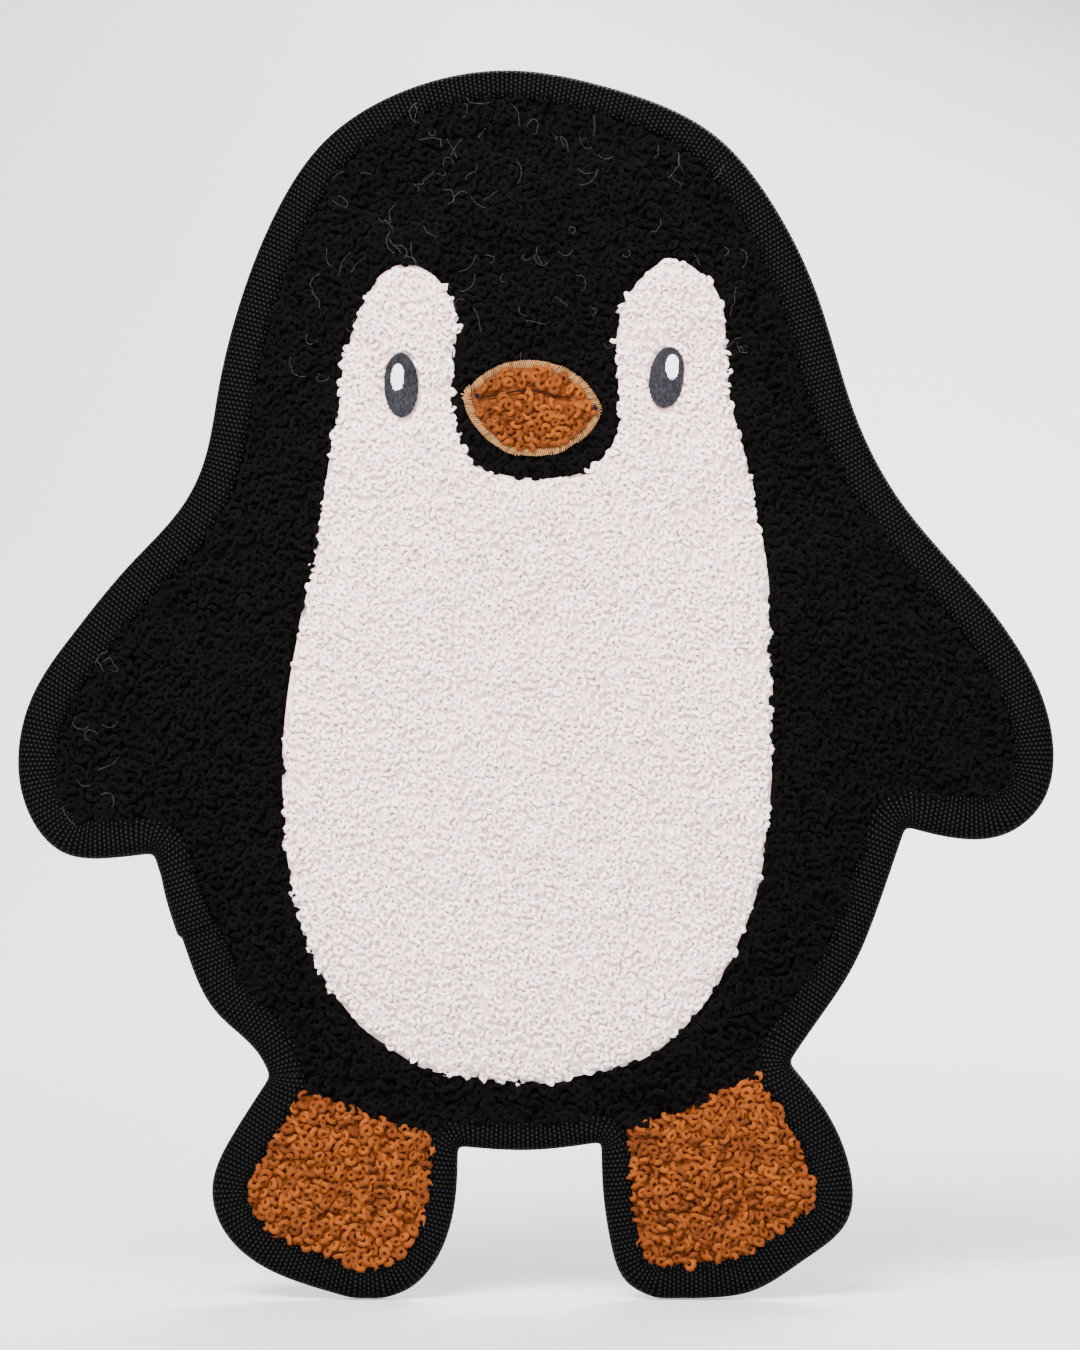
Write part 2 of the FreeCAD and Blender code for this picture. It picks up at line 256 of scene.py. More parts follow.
# Stuffed cloths ------------------------------------------------------------------------------------------
# Two woven grounds, sewn together at the rim under the tape and blown out by the filling between them. The
# front is pieced: black, a white belly and face let into it, and orange feet. The back is plain black.
CLOTH_STEP = 0.0035  # between the points of the cloth
RIM_INSET = 0.0012  # the cloths' own edge, in from the toy's
TAPE_HOLD = 0.0021  # half the thickness that the tape presses both cloths to
CLOTH = dict(  # the woven ground under the filling's pressure, a little slack over the filling
    quality=5, mass=0.06, tension_stiffness=15, compression_stiffness=15, bending_stiffness=0.6,
    shrink_min=-0.03, use_pressure=True, uniform_pressure_force=12.0, vertex_group_mass="under_tape",
)
CLOTH_FRAMES = 20
FULLEST = 0.0115  # how far the filling lifts the middle over the pressed edge
MOST_SIDEWAYS = 0.0015  # that the filling pushes the cloth along itself
LUMPS = ((0.0007, 38), (0.00025, 120))  # height of the filling's unevenness, and its turns in a metre
SEAM_DIP = 0.0011  # a sewn seam sits this much below the cloth round it


def seam_across(lobe):
    """Points along the line where the lobe's cloth begins, from edge to edge."""
    pos, along, out = fold_of(lobe)
    reach = 0.03 if "foot" in lobe else 0.3
    steps = np.arange(-reach, reach, CLOTH_STEP * 0.8)
    line = pos + out * BEND[lobe][0] + steps[:, None] * along
    return line[inside(line, offset_line(edge_fine, RIM_INSET))]


rim = evened(offset_line(edge_fine, RIM_INSET), CLOTH_STEP, closed=True)

rng = np.random.default_rng(7)
rows = np.arange(0.0, 0.31, CLOTH_STEP * 0.87)
fill_points = np.array([
    (x + (i % 2) * CLOTH_STEP / 2, z)
    for i, z in enumerate(rows) for x in np.arange(-0.135, 0.135, CLOTH_STEP)
])
fill_points += rng.uniform(-0.0004, 0.0004, fill_points.shape)
fill_points = fill_points[inside(fill_points, rim)]
marked_lines = [belly_line, *[seam_across(lobe) for lobe in BEND]]
for line in [rim, *marked_lines]:
    fill_points = fill_points[distance(fill_points, line)[0] > 0.6 * CLOTH_STEP]

plan_points = [tuple(p) for p in rim]
plan_edges = []
for line, closed in [(belly_line, True), *[(line, False) for line in marked_lines[1:]]]:
    base = len(plan_points)
    plan_points += [tuple(p[:2]) for p in line]
    plan_edges += [(base + i, base + i + 1) for i in range(len(line) - 1)]
    if closed:
        plan_edges.append((base + len(line) - 1, base))
plan_points += [tuple(p) for p in fill_points]
flat_points, _, flat_faces, *_ = delaunay_2d_cdt(
    [Vector(p) for p in plan_points], plan_edges, [list(range(len(rim)))], 1, 1e-6
)
flat_points = np.array([tuple(p) for p in flat_points])
flat_faces = np.array(flat_faces)
rim_gap, rim_nearest = distance(flat_points, edge_fine)
tape_gap = rim_gap - edge_fine[rim_nearest, 2]
covered = tape_gap < 0
face_middles = flat_points[flat_faces].mean(axis=1)
face_part = lobe_of(face_middles)
face_on_belly = inside(face_middles, belly_line)


def pressed_height(gap):
    """Half the thickness under the tape, rising from the sewn rim."""
    rise = np.clip(gap / 0.004, 0, 1)
    return TAPE_HOLD * rise * (2 - rise)


def stuffed_cloths():
    """Front and back points after the filling has blown the two cloths apart."""
    count = len(flat_points)
    on_rim = rim_gap < RIM_INSET * 1.2
    half = pressed_height(rim_gap - RIM_INSET)
    front = np.stack([flat_points[:, 0], -half, flat_points[:, 1]], axis=1)
    back = np.stack([flat_points[:, 0], half, flat_points[:, 1]], axis=1)
    back_number = np.where(on_rim, np.arange(count), np.arange(count) + count)
    used = np.concatenate([np.ones(count, bool), ~on_rim])
    packed = np.cumsum(used) - 1
    points = np.vstack([front, back])
    faces = [list(f) for f in flat_faces] + [list(packed[back_number[f[::-1]]]) for f in flat_faces]
    mesh = bpy.data.meshes.new("stuffed_cloths")
    mesh.from_pydata([tuple(v) for v in points[used]], [], [[int(i) for i in f] for f in faces])
    pillow = bpy.data.objects.new("stuffed_cloths", mesh)
    bpy.context.collection.objects.link(pillow)
    moved = points.copy()
    held = pillow.vertex_groups.new(name="under_tape")
    both = np.concatenate([covered, covered])[used]
    held.add([int(i) for i in np.flatnonzero(both)], 1.0, "REPLACE")
    stuffing = pillow.modifiers.new("stuffing", "CLOTH")
    for name, setting in CLOTH.items():
        setattr(stuffing.settings, name, setting)
    stuffing.settings.effector_weights.gravity = 0
    stuffing.collision_settings.use_collision = False
    stuffing.collision_settings.use_self_collision = False
    for step in range(1, CLOTH_FRAMES + 1):
        bpy.context.scene.frame_set(step)
    blown = pillow.evaluated_get(bpy.context.evaluated_depsgraph_get()).to_mesh()
    moved[used] = np.array([v.co for v in blown.vertices])
    bpy.context.scene.frame_set(1)
    bpy.data.objects.remove(pillow)
    lift = moved - points
    lift[count:][on_rim] = lift[:count][on_rim]
    capped = FULLEST * (1 - np.exp(-np.abs(lift[:, 1]) / FULLEST))
    sideways = np.clip(lift[:, [0, 2]], -MOST_SIDEWAYS, MOST_SIDEWAYS)
    result = points.copy()
    result[:, 1] += np.sign(points[:, 1]) * capped
    result[:, [0, 2]] += sideways
    return result[:count], result[count:]


front_points, back_points = stuffed_cloths()


def settle(points, side, seams):
    """Lets the filling lie unevenly and draws the cloth in along its seams. side is -1 for the front."""
    loose = np.clip(tape_gap / 0.01, 0, 1)
    lumps = np.array([
        sum(high * noise.noise(Vector((x * turns, side, z * turns))) for high, turns in LUMPS)
        for x, z in flat_points
    ])
    points[:, 1] += lumps * loose
    for seam in seams:
        gap = distance(flat_points, seam)[0]
        points[:, 1] -= side * SEAM_DIP * loose * np.exp(-(gap / 0.002) ** 2)


foot_seams = [seam_across("left_foot"), seam_across("right_foot")]
settle(front_points, -1, [belly_line, *foot_seams])
settle(back_points, 1, [])
front_tree = BVHTree.FromPolygons([Vector(v) for v in front_points], flat_faces.tolist())


def on_front(x, z, lift=0.0):
    """The point that far in front of the front cloth at x, z, and the way the cloth faces there."""
    place, facing, _, _ = front_tree.ray_cast(Vector((x, -1, z)), Vector((0, 1, 0)))
    return place + facing * lift, facing


def new_piece(name, points, faces, material, smooth=True):
    """A mesh object from points and faces, with one material."""
    mesh = bpy.data.meshes.new(name)
    mesh.from_pydata([tuple(float(c) for c in v) for v in points], [], [[int(i) for i in f] for f in faces])
    mesh.materials.append(material)
    mesh.shade_smooth() if smooth else mesh.shade_flat()
    piece = bpy.data.objects.new(name, mesh)
    bpy.context.collection.objects.link(piece)
    return piece


def cut_out(points, faces):
    """Only the points that the faces use, with the faces numbered again."""
    used, numbers = np.unique(faces, return_inverse=True)
    return points[used], numbers.reshape(faces.shape)


def shader_group(name, inputs, outputs):
    """An empty shader node group with named sockets. Each is (name, kind, value)."""
    group = bpy.data.node_groups.new(name, "ShaderNodeTree")
    for label, kind, value in inputs:
        socket = group.interface.new_socket(label, in_out="INPUT", socket_type=f"NodeSocket{kind}")
        socket.default_value = value
    for label, kind in outputs:
        group.interface.new_socket(label, in_out="OUTPUT", socket_type=f"NodeSocket{kind}")
    return group, group.nodes.new("NodeGroupInput"), group.nodes.new("NodeGroupOutput")


def add(tree, kind, values=(), **settings):
    """A node added to the tree, with its settings and the plain values of its inputs."""
    node = tree.nodes.new(kind)
    for name, setting in settings.items():
        setattr(node, name, setting)
    for socket, value in dict(values).items():
        node.inputs[socket].default_value = value
    return node


def join(tree, *links):
    """Links outputs to inputs: each is (output, input), or (node, output's name, node, input's name)."""
    for link in links:
        if len(link) == 4:
            source, from_name, target, to_name = link
            link = source.outputs[from_name], target.inputs[to_name]
        tree.links.new(*link)


def maths(tree, operation, *terms):
    """The result of a sum on outputs and plain numbers."""
    node = add(tree, "ShaderNodeMath", operation=operation)
    for socket, term in zip(node.inputs, terms):
        if hasattr(term, "is_output"):
            tree.links.new(term, socket)
        else:
            socket.default_value = term
    return node.outputs[0]


def mixed(tree, amount, first, second):
    """The colour that lies that far from the first towards the second."""
    mix = add(tree, "ShaderNodeMix", data_type="RGBA")
    colours = [socket for socket in mix.inputs if socket.type == "RGBA"]
    join(tree, (amount, mix.inputs[0]), (first, colours[0]), (second, colours[1]))
    return next(socket for socket in mix.outputs if socket.type == "RGBA")


def raised(tree, height, strength, depth, under=None):
    """The way the surface faces once the height is raised from it, over a finer relief or alone."""
    bump = add(tree, "ShaderNodeBump", {"Distance": depth})
    join(tree, (strength, bump.inputs["Strength"]), (height, bump.inputs["Height"]))
    if under is not None:
        join(tree, (under, bump.inputs["Normal"]))
    return bump.outputs["Normal"]


FIBRE_DEPTH = 0.0002  # of the spun fibres' relief
NUB_DEPTH = 0.0012  # of the loops that lie close in a ground
NUBS_PER_METRE = 470
PATCHES_PER_METRE = 55


def yarn_group():
    """Spun yarn: a colour that changes from loop to loop and along the fibres, from a dark colour (a painted
    shade on the boucles) to the crest colour, with painted shade between the nubs, and the fibres' relief.
    """
    group, given, result = shader_group(
        "yarn",
        [("Dark And Painted Shade Colour", "Color", (0, 0, 0, 1)), ("Crest Colour", "Color", (1, 1, 1, 1)),
         ("Fibre Scale", "Float", 2600.0), ("Relief", "Float", 0.4), ("Patchiness", "Float", 0.3),
         ("Nubs", "Float", 0.0)],
        [("Colour", "Color"), ("Normal", "Vector"), ("Roughness", "Float")],
    )
    calc = functools.partial(maths, group)
    place = add(group, "ShaderNodeTexCoord").outputs["Object"]
    shade = add(group, "ShaderNodeAttribute", attribute_name="yarn_shade").outputs["Fac"]
    fibres = add(group, "ShaderNodeTexNoise", {"Detail": 3})
    patches = add(group, "ShaderNodeTexNoise", {"Scale": PATCHES_PER_METRE, "Detail": 2})
    cells = add(group, "ShaderNodeTexVoronoi", {"Scale": NUBS_PER_METRE})
    join(group, *((place, texture.inputs["Vector"]) for texture in (fibres, patches, cells)),
         (given, "Fibre Scale", fibres, "Scale"))
    fibre, wanted_nubs = fibres.outputs["Fac"], given.outputs["Nubs"]
    patchy = calc("MULTIPLY", calc("SUBTRACT", patches.outputs["Fac"], 0.5), given.outputs["Patchiness"])
    strands = calc("MULTIPLY", calc("SUBTRACT", fibre, 0.5), 0.7)
    # Painted shade: the nub cells darken the colour towards their edges, between the nubs, as well as raising
    # them in the bump.
    nub = calc("SUBTRACT", 1.0, cells.outputs["Distance"])
    yarn_top = calc("ADD", shade, calc("MULTIPLY", nub, wanted_nubs))
    amount = calc("ADD", calc("ADD", calc("MULTIPLY", yarn_top, 0.75), patchy), strands)
    # The colour runs from the dark end, which on the boucles is a painted shade for the pile's hollows, up to
    # the crest colour.
    dark_and_painted_shade, crest = given.outputs["Dark And Painted Shade Colour"], given.outputs["Crest Colour"]
    colour = mixed(group, calc("ADD", amount, 0.12), dark_and_painted_shade, crest)
    fibre_relief = raised(group, fibre, given.outputs["Relief"], FIBRE_DEPTH)
    join(group, (colour, result.inputs["Colour"]),
         (raised(group, nub, wanted_nubs, NUB_DEPTH, fibre_relief), result.inputs["Normal"]),
         (calc("ADD", calc("MULTIPLY", fibre, 0.2), 0.72), result.inputs["Roughness"]))
    return group


yarn = yarn_group()


def fresh_material(name, group=None, values=()):
    """A new material with its node tree and surface, which takes its look from the group if one is given."""
    material = bpy.data.materials.new(name)
    material.use_nodes = True
    tree = material.node_tree
    surface = tree.nodes["Principled BSDF"]
    if group:
        look = add(tree, "ShaderNodeGroup", values, node_tree=group)
        for label, socket in (("Colour", "Base Color"), ("Normal", "Normal"), ("Roughness", "Roughness")):
            join(tree, (look.outputs[label], surface.inputs[socket]))
    return material, tree, surface


def yarn_material(name, dark_and_painted_shade, crest, sheen=0.3, glow=0.0, relief=0.4, fibre_scale=2600.0, patchiness=0.3,
                  shine=0.2, nubs=0.0):
    """A fabric of the yarn group, running from a dark colour, a painted shade on the boucles, to the crest
    colour. Colours are linear; glow is how far light soaks into pale yarn.
    """
    material, _, surface = fresh_material(name, yarn, {
        "Dark And Painted Shade Colour": (*dark_and_painted_shade, 1), "Crest Colour": (*crest, 1), "Relief": relief,
        "Fibre Scale": fibre_scale, "Patchiness": patchiness, "Nubs": nubs})
    surface.inputs["Sheen Weight"].default_value = sheen
    surface.inputs["Sheen Roughness"].default_value = 0.5
    surface.inputs["Specular IOR Level"].default_value = shine
    if glow:
        surface.inputs["Subsurface Weight"].default_value = glow
        surface.inputs["Subsurface Radius"].default_value = (1.0, 0.75, 0.6)
        surface.inputs["Subsurface Scale"].default_value = 0.002
    return material


# Each boucle's colour at the crest, and a darker painted shade of it that stands for the shade in the pile's
# hollows.
BLACK_PAINTED_SHADE, BLACK_CREST = (0.0009, 0.0007, 0.0007), (0.0021, 0.0016, 0.0016)
WHITE_PAINTED_SHADE, WHITE_CREST = (0.82, 0.55, 0.50), (0.98, 0.775, 0.74)
ORANGE_PAINTED_SHADE, ORANGE_CREST = (0.030, 0.0055, 0.0008), (0.195, 0.045, 0.0045)
boucles = {  # the yarn of the loops, and the same yarn lying close in the ground
    "black": dict(dark_and_painted_shade=BLACK_PAINTED_SHADE, crest=BLACK_CREST, sheen=0.01, relief=0.8, shine=0.02),
    "white": dict(dark_and_painted_shade=WHITE_PAINTED_SHADE, crest=WHITE_CREST, sheen=0.1, glow=0.6, relief=0.6, shine=0.1),
    "orange": dict(dark_and_painted_shade=ORANGE_PAINTED_SHADE, crest=ORANGE_CREST, sheen=0.0, glow=0.1, relief=1.0, patchiness=0.6,
                   shine=0.1),
}
black_yarn, white_yarn, orange_yarn = (yarn_material(f"{c}_boucle", **look) for c, look in boucles.items())
# The grounds show mostly the painted-shade end of their colour, and the nub cells paint more shade at their
# edges: the shade of the pile's hollows.
black_ground, white_ground, orange_ground = (
    yarn_material(f"{c}_boucle_ground", nubs=0.8, **look) for c, look in boucles.items())

# The grounds: each cloth cut out of the blown shape, named after what it is on the toy
grounds = {}


def lay_ground(name, part, points, mask, material, node, front=True):
    """One cloth's woven ground, with the size and area of the flat piece that it was cut to."""
    faces = flat_faces[mask]
    width, height = np.ptp(flat_points[np.unique(faces)], axis=0)
    flat_area = 0.0
    for a, b, c in flat_points[faces]:
        flat_area += abs((b[0] - a[0]) * (c[1] - a[1]) - (c[0] - a[0]) * (b[1] - a[1])) / 2
    kept, numbered = cut_out(points, faces)
    piece = new_piece(name, kept, numbered if front else numbered[:, ::-1], material)
    fasten(piece, part)
    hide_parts(node)
    grounds[name] = (piece, (float(width), float(height)), float(flat_area), part)


lay_ground("front_cloth", "torso", front_points, (face_part == "torso") & ~face_on_belly, black_ground,
           "front_body_panel")
lay_ground("belly_cloth", "torso", front_points, face_on_belly, white_ground, "belly_panel")
lay_ground("back_cloth", "torso", back_points, face_part == "torso", black_ground, "back_body_panel",
           front=False)
for lobe in BEND:
    mine = face_part == lobe
    top_ground = orange_ground if "foot" in lobe else black_ground
    lay_ground(f"{lobe}_front_cloth", lobe, front_points, mine, top_ground, f"{lobe}_front_panel")
    lay_ground(f"{lobe}_back_cloth", lobe, back_points, mine, black_ground, f"{lobe}_back_panel", front=False)

# Looped pile ---------------------------------------------------------------------------------------------
# Boucle: a thick yarn thrown up into small closed loops all over the ground, leaning every way. The white
# loops are fat and pearly, the black ones finer, and the orange ones tight.
LOOP_SIDES = 10
YARN_SIDES = 4
LOOP_POINTS = LOOP_SIDES * YARN_SIDES
PILES = {  # spacing, loop radius and yarn radius in mm
    "white": (1.50, 0.86, 0.66),
    "black": (1.80, 0.98, 0.72),
    "back": (2.40, 1.20, 0.88),
    "orange": (1.60, 0.98, 0.78),
    "beak": (1.50, 0.92, 0.74),
}
PILE_ROOT = 0.45  # how far a loop's middle stands over the ground, as a share of its radius
PILE_LEAN = 0.9  # radians, the most that a loop leans
PILE_CRUMPLE = 0.0009  # how far the yarn is pushed out of round
CRUMPLES_PER_METRE = 650
MOST_LOOPS = 2400  # in one piece of pile
UNDER_TAPE = 0.0006  # how far loops are still caught under the tape's inner edge
RAGGED = 0.0003  # how unevenly loops cross a seam
WHITE_OVER_SEAM = 0.0003  # how far the white loops lap over it
BLACK_BACK_FROM_WHITE = 0.0016  # how far the black loops stand back, so as not to lean over the white


def geometry_tree(name, inputs):
    """An empty Geometry Nodes tree with named inputs, its input node and its output node."""
    tree = bpy.data.node_groups.new(name, "GeometryNodeTree")
    tree.interface.new_socket("Geometry", in_out="INPUT", socket_type="NodeSocketGeometry")
    for label, kind, value in inputs:
        socket = tree.interface.new_socket(label, in_out="INPUT", socket_type=f"NodeSocket{kind}")
        if value is not None:
            socket.default_value = value
    tree.interface.new_socket("Geometry", in_out="OUTPUT", socket_type="NodeSocketGeometry")
    return tree, tree.nodes.new("NodeGroupInput"), tree.nodes.new("NodeGroupOutput")


def finish_tree(tree, given, made, result):
    """Realizes the instances and gives them the material."""
    real = add(tree, "GeometryNodeRealizeInstances")
    paint = add(tree, "GeometryNodeSetMaterial")
    join(tree, (made, real.inputs["Geometry"]), (real, "Geometry", paint, "Geometry"),
         (given, "Material", paint, "Material"), (paint, "Geometry", result, "Geometry"))


def run_tree(tree, source, values):
    """The mesh that the tree makes of an object, as plain data. The object is used up."""
    grower = source.modifiers.new("grower", "NODES")
    grower.node_group = tree
    for item in tree.interface.items_tree:
        if item.in_out == "INPUT" and item.name in values:
            grower[item.identifier] = values[item.name]
    source.update_tag()
    made = bpy.data.meshes.new_from_object(source.evaluated_get(bpy.context.evaluated_depsgraph_get()))
    bpy.data.objects.remove(source)
    return made


def random_value(tree, kind, low, high, seed):
    """A random value for each instance, as a node's output."""
    least, most, out = (0, 1, 0) if kind == "FLOAT_VECTOR" else (2, 3, 1)
    node = add(tree, "FunctionNodeRandomValue", {least: low, most: high, "Seed": seed}, data_type=kind)
    return node.outputs[out]


def shaded_instances(tree, place, seed):
    """The instances with a shade each, which the yarn group reads."""
    shade = add(tree, "GeometryNodeStoreNamedAttribute", {"Name": "yarn_shade"}, data_type="FLOAT",
                domain="INSTANCE")
    join(tree, (place, "Instances", shade, "Geometry"),
         (random_value(tree, "FLOAT", 0.15, 1.0, seed), shade.inputs["Value"]))
    return shade.outputs["Geometry"]


def round_thread(tree, path, radius, sides, capped=False):
    """A round thread along the curves, smooth to the light."""
    section = add(tree, "GeometryNodeCurvePrimitiveCircle", {"Resolution": sides})
    tube = add(tree, "GeometryNodeCurveToMesh", {"Fill Caps": capped})
    soft = add(tree, "GeometryNodeSetShadeSmooth")
    join(tree, (radius, section.inputs["Radius"]), (path, tube.inputs["Curve"]),
         (section, "Curve", tube, "Profile Curve"), (tube, "Mesh", soft, "Geometry"))
    return soft.outputs["Geometry"]


def pile_tree():
    """Loops of yarn on the points of a random even scatter, each leaning and stretched its own way."""
    tree, given, result = geometry_tree("looped_pile", [
        ("Spacing", "Float", 0.002), ("Loop Radius", "Float", 0.001), ("Yarn Radius", "Float", 0.0004),
        ("Lean", "Float", 0.9), ("Crumple", "Float", 0.001), ("Seed", "Int", 3),
        ("Material", "Material", None)])
    scatter = add(tree, "GeometryNodeDistributePointsOnFaces", {"Density Max": 1e6},
                  distribute_method="POISSON")
    loop = add(tree, "GeometryNodeCurvePrimitiveCircle", {"Resolution": LOOP_SIDES})
    join(tree, (given, "Geometry", scatter, "Mesh"), (given, "Spacing", scatter, "Distance Min"),
         (given, "Seed", scatter, "Seed"), (given, "Loop Radius", loop, "Radius"))

    leaning = add(tree, "ShaderNodeCombineXYZ", {"Z": 1})
    spread = add(tree, "ShaderNodeVectorMath", operation="MULTIPLY")
    turn = add(tree, "FunctionNodeEulerToRotation")
    lean = add(tree, "FunctionNodeRotateRotation", rotation_space="LOCAL")
    join(tree, (given, "Lean", leaning, "X"), (given, "Lean", leaning, "Y"),
         (random_value(tree, "FLOAT_VECTOR", (-1, -1, -3.14), (1, 1, 3.14), 11), spread.inputs[0]),
         (leaning, "Vector", spread, 1), (spread, "Vector", turn, "Euler"),
         (scatter, "Rotation", lean, "Rotation"), (turn, "Rotation", lean, "Rotate By"))

    place = add(tree, "GeometryNodeInstanceOnPoints")
    one_loop = round_thread(tree, loop.outputs["Curve"], given.outputs["Yarn Radius"], YARN_SIDES)
    join(tree, (scatter, "Points", place, "Points"), (one_loop, place.inputs["Instance"]),
         (lean, "Rotation", place, "Rotation"),
         (random_value(tree, "FLOAT_VECTOR", (0.7, 0.85, 0.85), (1.15, 1.3, 1.1), 12), place.inputs["Scale"]))

    real = add(tree, "GeometryNodeRealizeInstances")
    wander = add(tree, "ShaderNodeTexNoise", {"Scale": CRUMPLES_PER_METRE})
    centred = add(tree, "ShaderNodeVectorMath", {1: (0.5, 0.5, 0.5)}, operation="SUBTRACT")
    pushed = add(tree, "ShaderNodeVectorMath", operation="SCALE")
    crumpled = add(tree, "GeometryNodeSetPosition")
    join(tree, (shaded_instances(tree, place, 13), real.inputs["Geometry"]),
         (real, "Geometry", crumpled, "Geometry"), (wander, "Color", centred, 0),
         (centred, "Vector", pushed, 0), (given, "Crumple", pushed, "Scale"),
         (pushed, "Vector", crumpled, "Offset"))
    finish_tree(tree, given, crumpled.outputs["Geometry"], result)
    return tree


looped_pile = pile_tree()


def grow_pile(points, faces, kind, material, seed, side=-1, root=PILE_ROOT):
    """Loops over a whole cloth: their points, loop by loop, each loop's shade, and one loop's faces."""
    spacing, loop_radius, yarn_radius = (size * MM for size in PILES[kind])
    lifted = points + np.array([0, side * loop_radius * root, 0])
    source = new_piece("growing", lifted, faces, material)
    made = run_tree(looped_pile, source, {
        "Spacing": spacing, "Loop Radius": loop_radius, "Yarn Radius": yarn_radius, "Lean": PILE_LEAN,
        "Crumple": PILE_CRUMPLE, "Seed": seed})
    places = np.empty(len(made.vertices) * 3)
    made.vertices.foreach_get("co", places)
    shades = np.empty(len(made.vertices))
    made.attributes["yarn_shade"].data.foreach_get("value", shades)
    one_loop = [list(f.vertices) for f in made.polygons[:LOOP_POINTS]]
    bpy.data.meshes.remove(made)
    return places.reshape(-1, LOOP_POINTS, 3), shades.reshape(-1, LOOP_POINTS)[:, 0], np.array(one_loop)


def lay_pile(name, loops, shades, one_loop, material):
    """A piece of pile from some of the loops."""
    starts = np.arange(len(loops)) * LOOP_POINTS
    faces = (one_loop[None] + starts[:, None, None]).reshape(-1, 4)
    mesh = bpy.data.meshes.new(name)
    mesh.vertices.add(len(loops) * LOOP_POINTS)
    mesh.vertices.foreach_set("co", loops.reshape(-1))
    mesh.loops.add(faces.size)
    mesh.loops.foreach_set("vertex_index", faces.reshape(-1))
    mesh.polygons.add(len(faces))
    mesh.polygons.foreach_set("loop_start", np.arange(len(faces)) * 4)
    mesh.update(calc_edges=True)
    mesh.validate()
    mesh.shade_smooth()
    shade = mesh.attributes.new("yarn_shade", "FLOAT", "POINT")
    shade.data.foreach_set("value", np.repeat(shades, LOOP_POINTS))
    mesh.materials.append(material)
    piece = bpy.data.objects.new(name, mesh)
    bpy.context.collection.objects.link(piece)
    return piece


EYE_CLEAR = 1.16  # how much larger the bare oval round each eye's embroidery is
BEAK_TIPS = ((-0.0180, 0.2248), (0.0163, 0.2215))
BEAK_TOP = (-0.0010, 0.2338)
BEAK_BOTTOM = (0.0005, 0.2098)
EYES = {  # middle, half width, half height, and lean in degrees
    "left_eye": ((-0.0333, 0.2273), 0.0042, 0.0077, -2.0),
    "right_eye": ((0.0324, 0.2293), 0.0043, 0.0074, 8.0),
}


def arc_through(first, middle, last, count):
    """Points along the circle's arc through three points."""
    (ax, az), (bx, bz), (cx, cz) = first, middle, last
    d = 2 * (ax * (bz - cz) + bx * (cz - az) + cx * (az - bz))
    a2, b2, c2 = ax ** 2 + az ** 2, bx ** 2 + bz ** 2, cx ** 2 + cz ** 2
    ux = (a2 * (bz - cz) + b2 * (cz - az) + c2 * (az - bz)) / d
    uz = (a2 * (cx - bx) + b2 * (ax - cx) + c2 * (bx - ax)) / d
    radius = math.hypot(ax - ux, az - uz)
    start, mid, end = (math.atan2(z - uz, x - ux) for x, z in (first, middle, last))
    swing = (end - start + math.pi) % (2 * math.pi) - math.pi
    if not 0 < ((mid - start) / swing) % (2 * math.pi / abs(swing)) < 1:
        swing -= math.copysign(2 * math.pi, swing)
    angles = start + swing * np.linspace(0, 1, count)
    return np.stack([ux + radius * np.cos(angles), uz + radius * np.sin(angles)], axis=1)


beak_upper = arc_through(BEAK_TIPS[0], BEAK_TOP, BEAK_TIPS[1], 60)
beak_lower = arc_through(BEAK_TIPS[0], BEAK_BOTTOM, BEAK_TIPS[1], 60)
beak_outline = np.vstack([beak_upper, beak_lower[-2:0:-1]])


def in_oval(points, oval, grow=1.0):
    """Which of the points lie in a leaning oval."""
    (x, z), half_width, half_height, lean = oval
    turn = math.radians(lean)
    dx, dz = points[:, 0] - x, points[:, 1] - z
    across = dx * math.cos(turn) - dz * math.sin(turn)
    up = dx * math.sin(turn) + dz * math.cos(turn)
    return (across / (half_width * grow)) ** 2 + (up / (half_height * grow)) ** 2 < 1


def clear_of_tape(centres):
    """Which loops stand inside the tape's inner edge."""
    gap, nearest = distance(centres, edge_fine)
    return gap > edge_fine[nearest, 2] - UNDER_TAPE


def open_to_pile(centres):
    """Which loops stand clear of the tape, the beak and the eyes."""
    clear = clear_of_tape(centres) & ~inside(centres, beak_outline)
    for oval in EYES.values():
        clear &= ~in_oval(centres, oval, EYE_CLEAR)
    return clear


def pile_pieces(label, loops, shades, one_loop, material, wanted):
    """The pile of each part that the wanted loops stand on, the torso's riding on the body."""
    centres = loops.mean(axis=1)[:, [0, 2]]
    keep = wanted(centres)
    parts = lobe_of(centres)
    made = {}
    for part in PARTS:
        mine = keep & (parts == part)
        if mine.sum() > 20:
            name = f"{label}_pile" if part == "torso" else f"{part}_{label}_pile"
            upwards = np.flatnonzero(mine)[np.argsort(centres[mine][:, 1])]
            bands = np.array_split(upwards, math.ceil(len(upwards) / MOST_LOOPS))
            made[part] = [lay_pile(f"{name}_{k + 1}", loops[band], shades[band], one_loop, material)
                          for k, band in enumerate(bands)]
            for piece in made[part]:
                fasten(piece, part)
    return made


def jittered(centres):
    """The loops' middles as their roots see a seam, some a little to either side."""
    return centres + np.random.default_rng(5).normal(0, RAGGED, centres.shape)


def is_foot(centres):
    """Which loops stand on the feet."""
    return np.array(["foot" in part for part in lobe_of(centres)])


def clear_of_belly(centres):
    """Which black loops stand outside the white panel, far enough not to show on it."""
    return ~inside(centres, belly_line) & (distance(centres, belly_line)[0] > BLACK_BACK_FROM_WHITE)


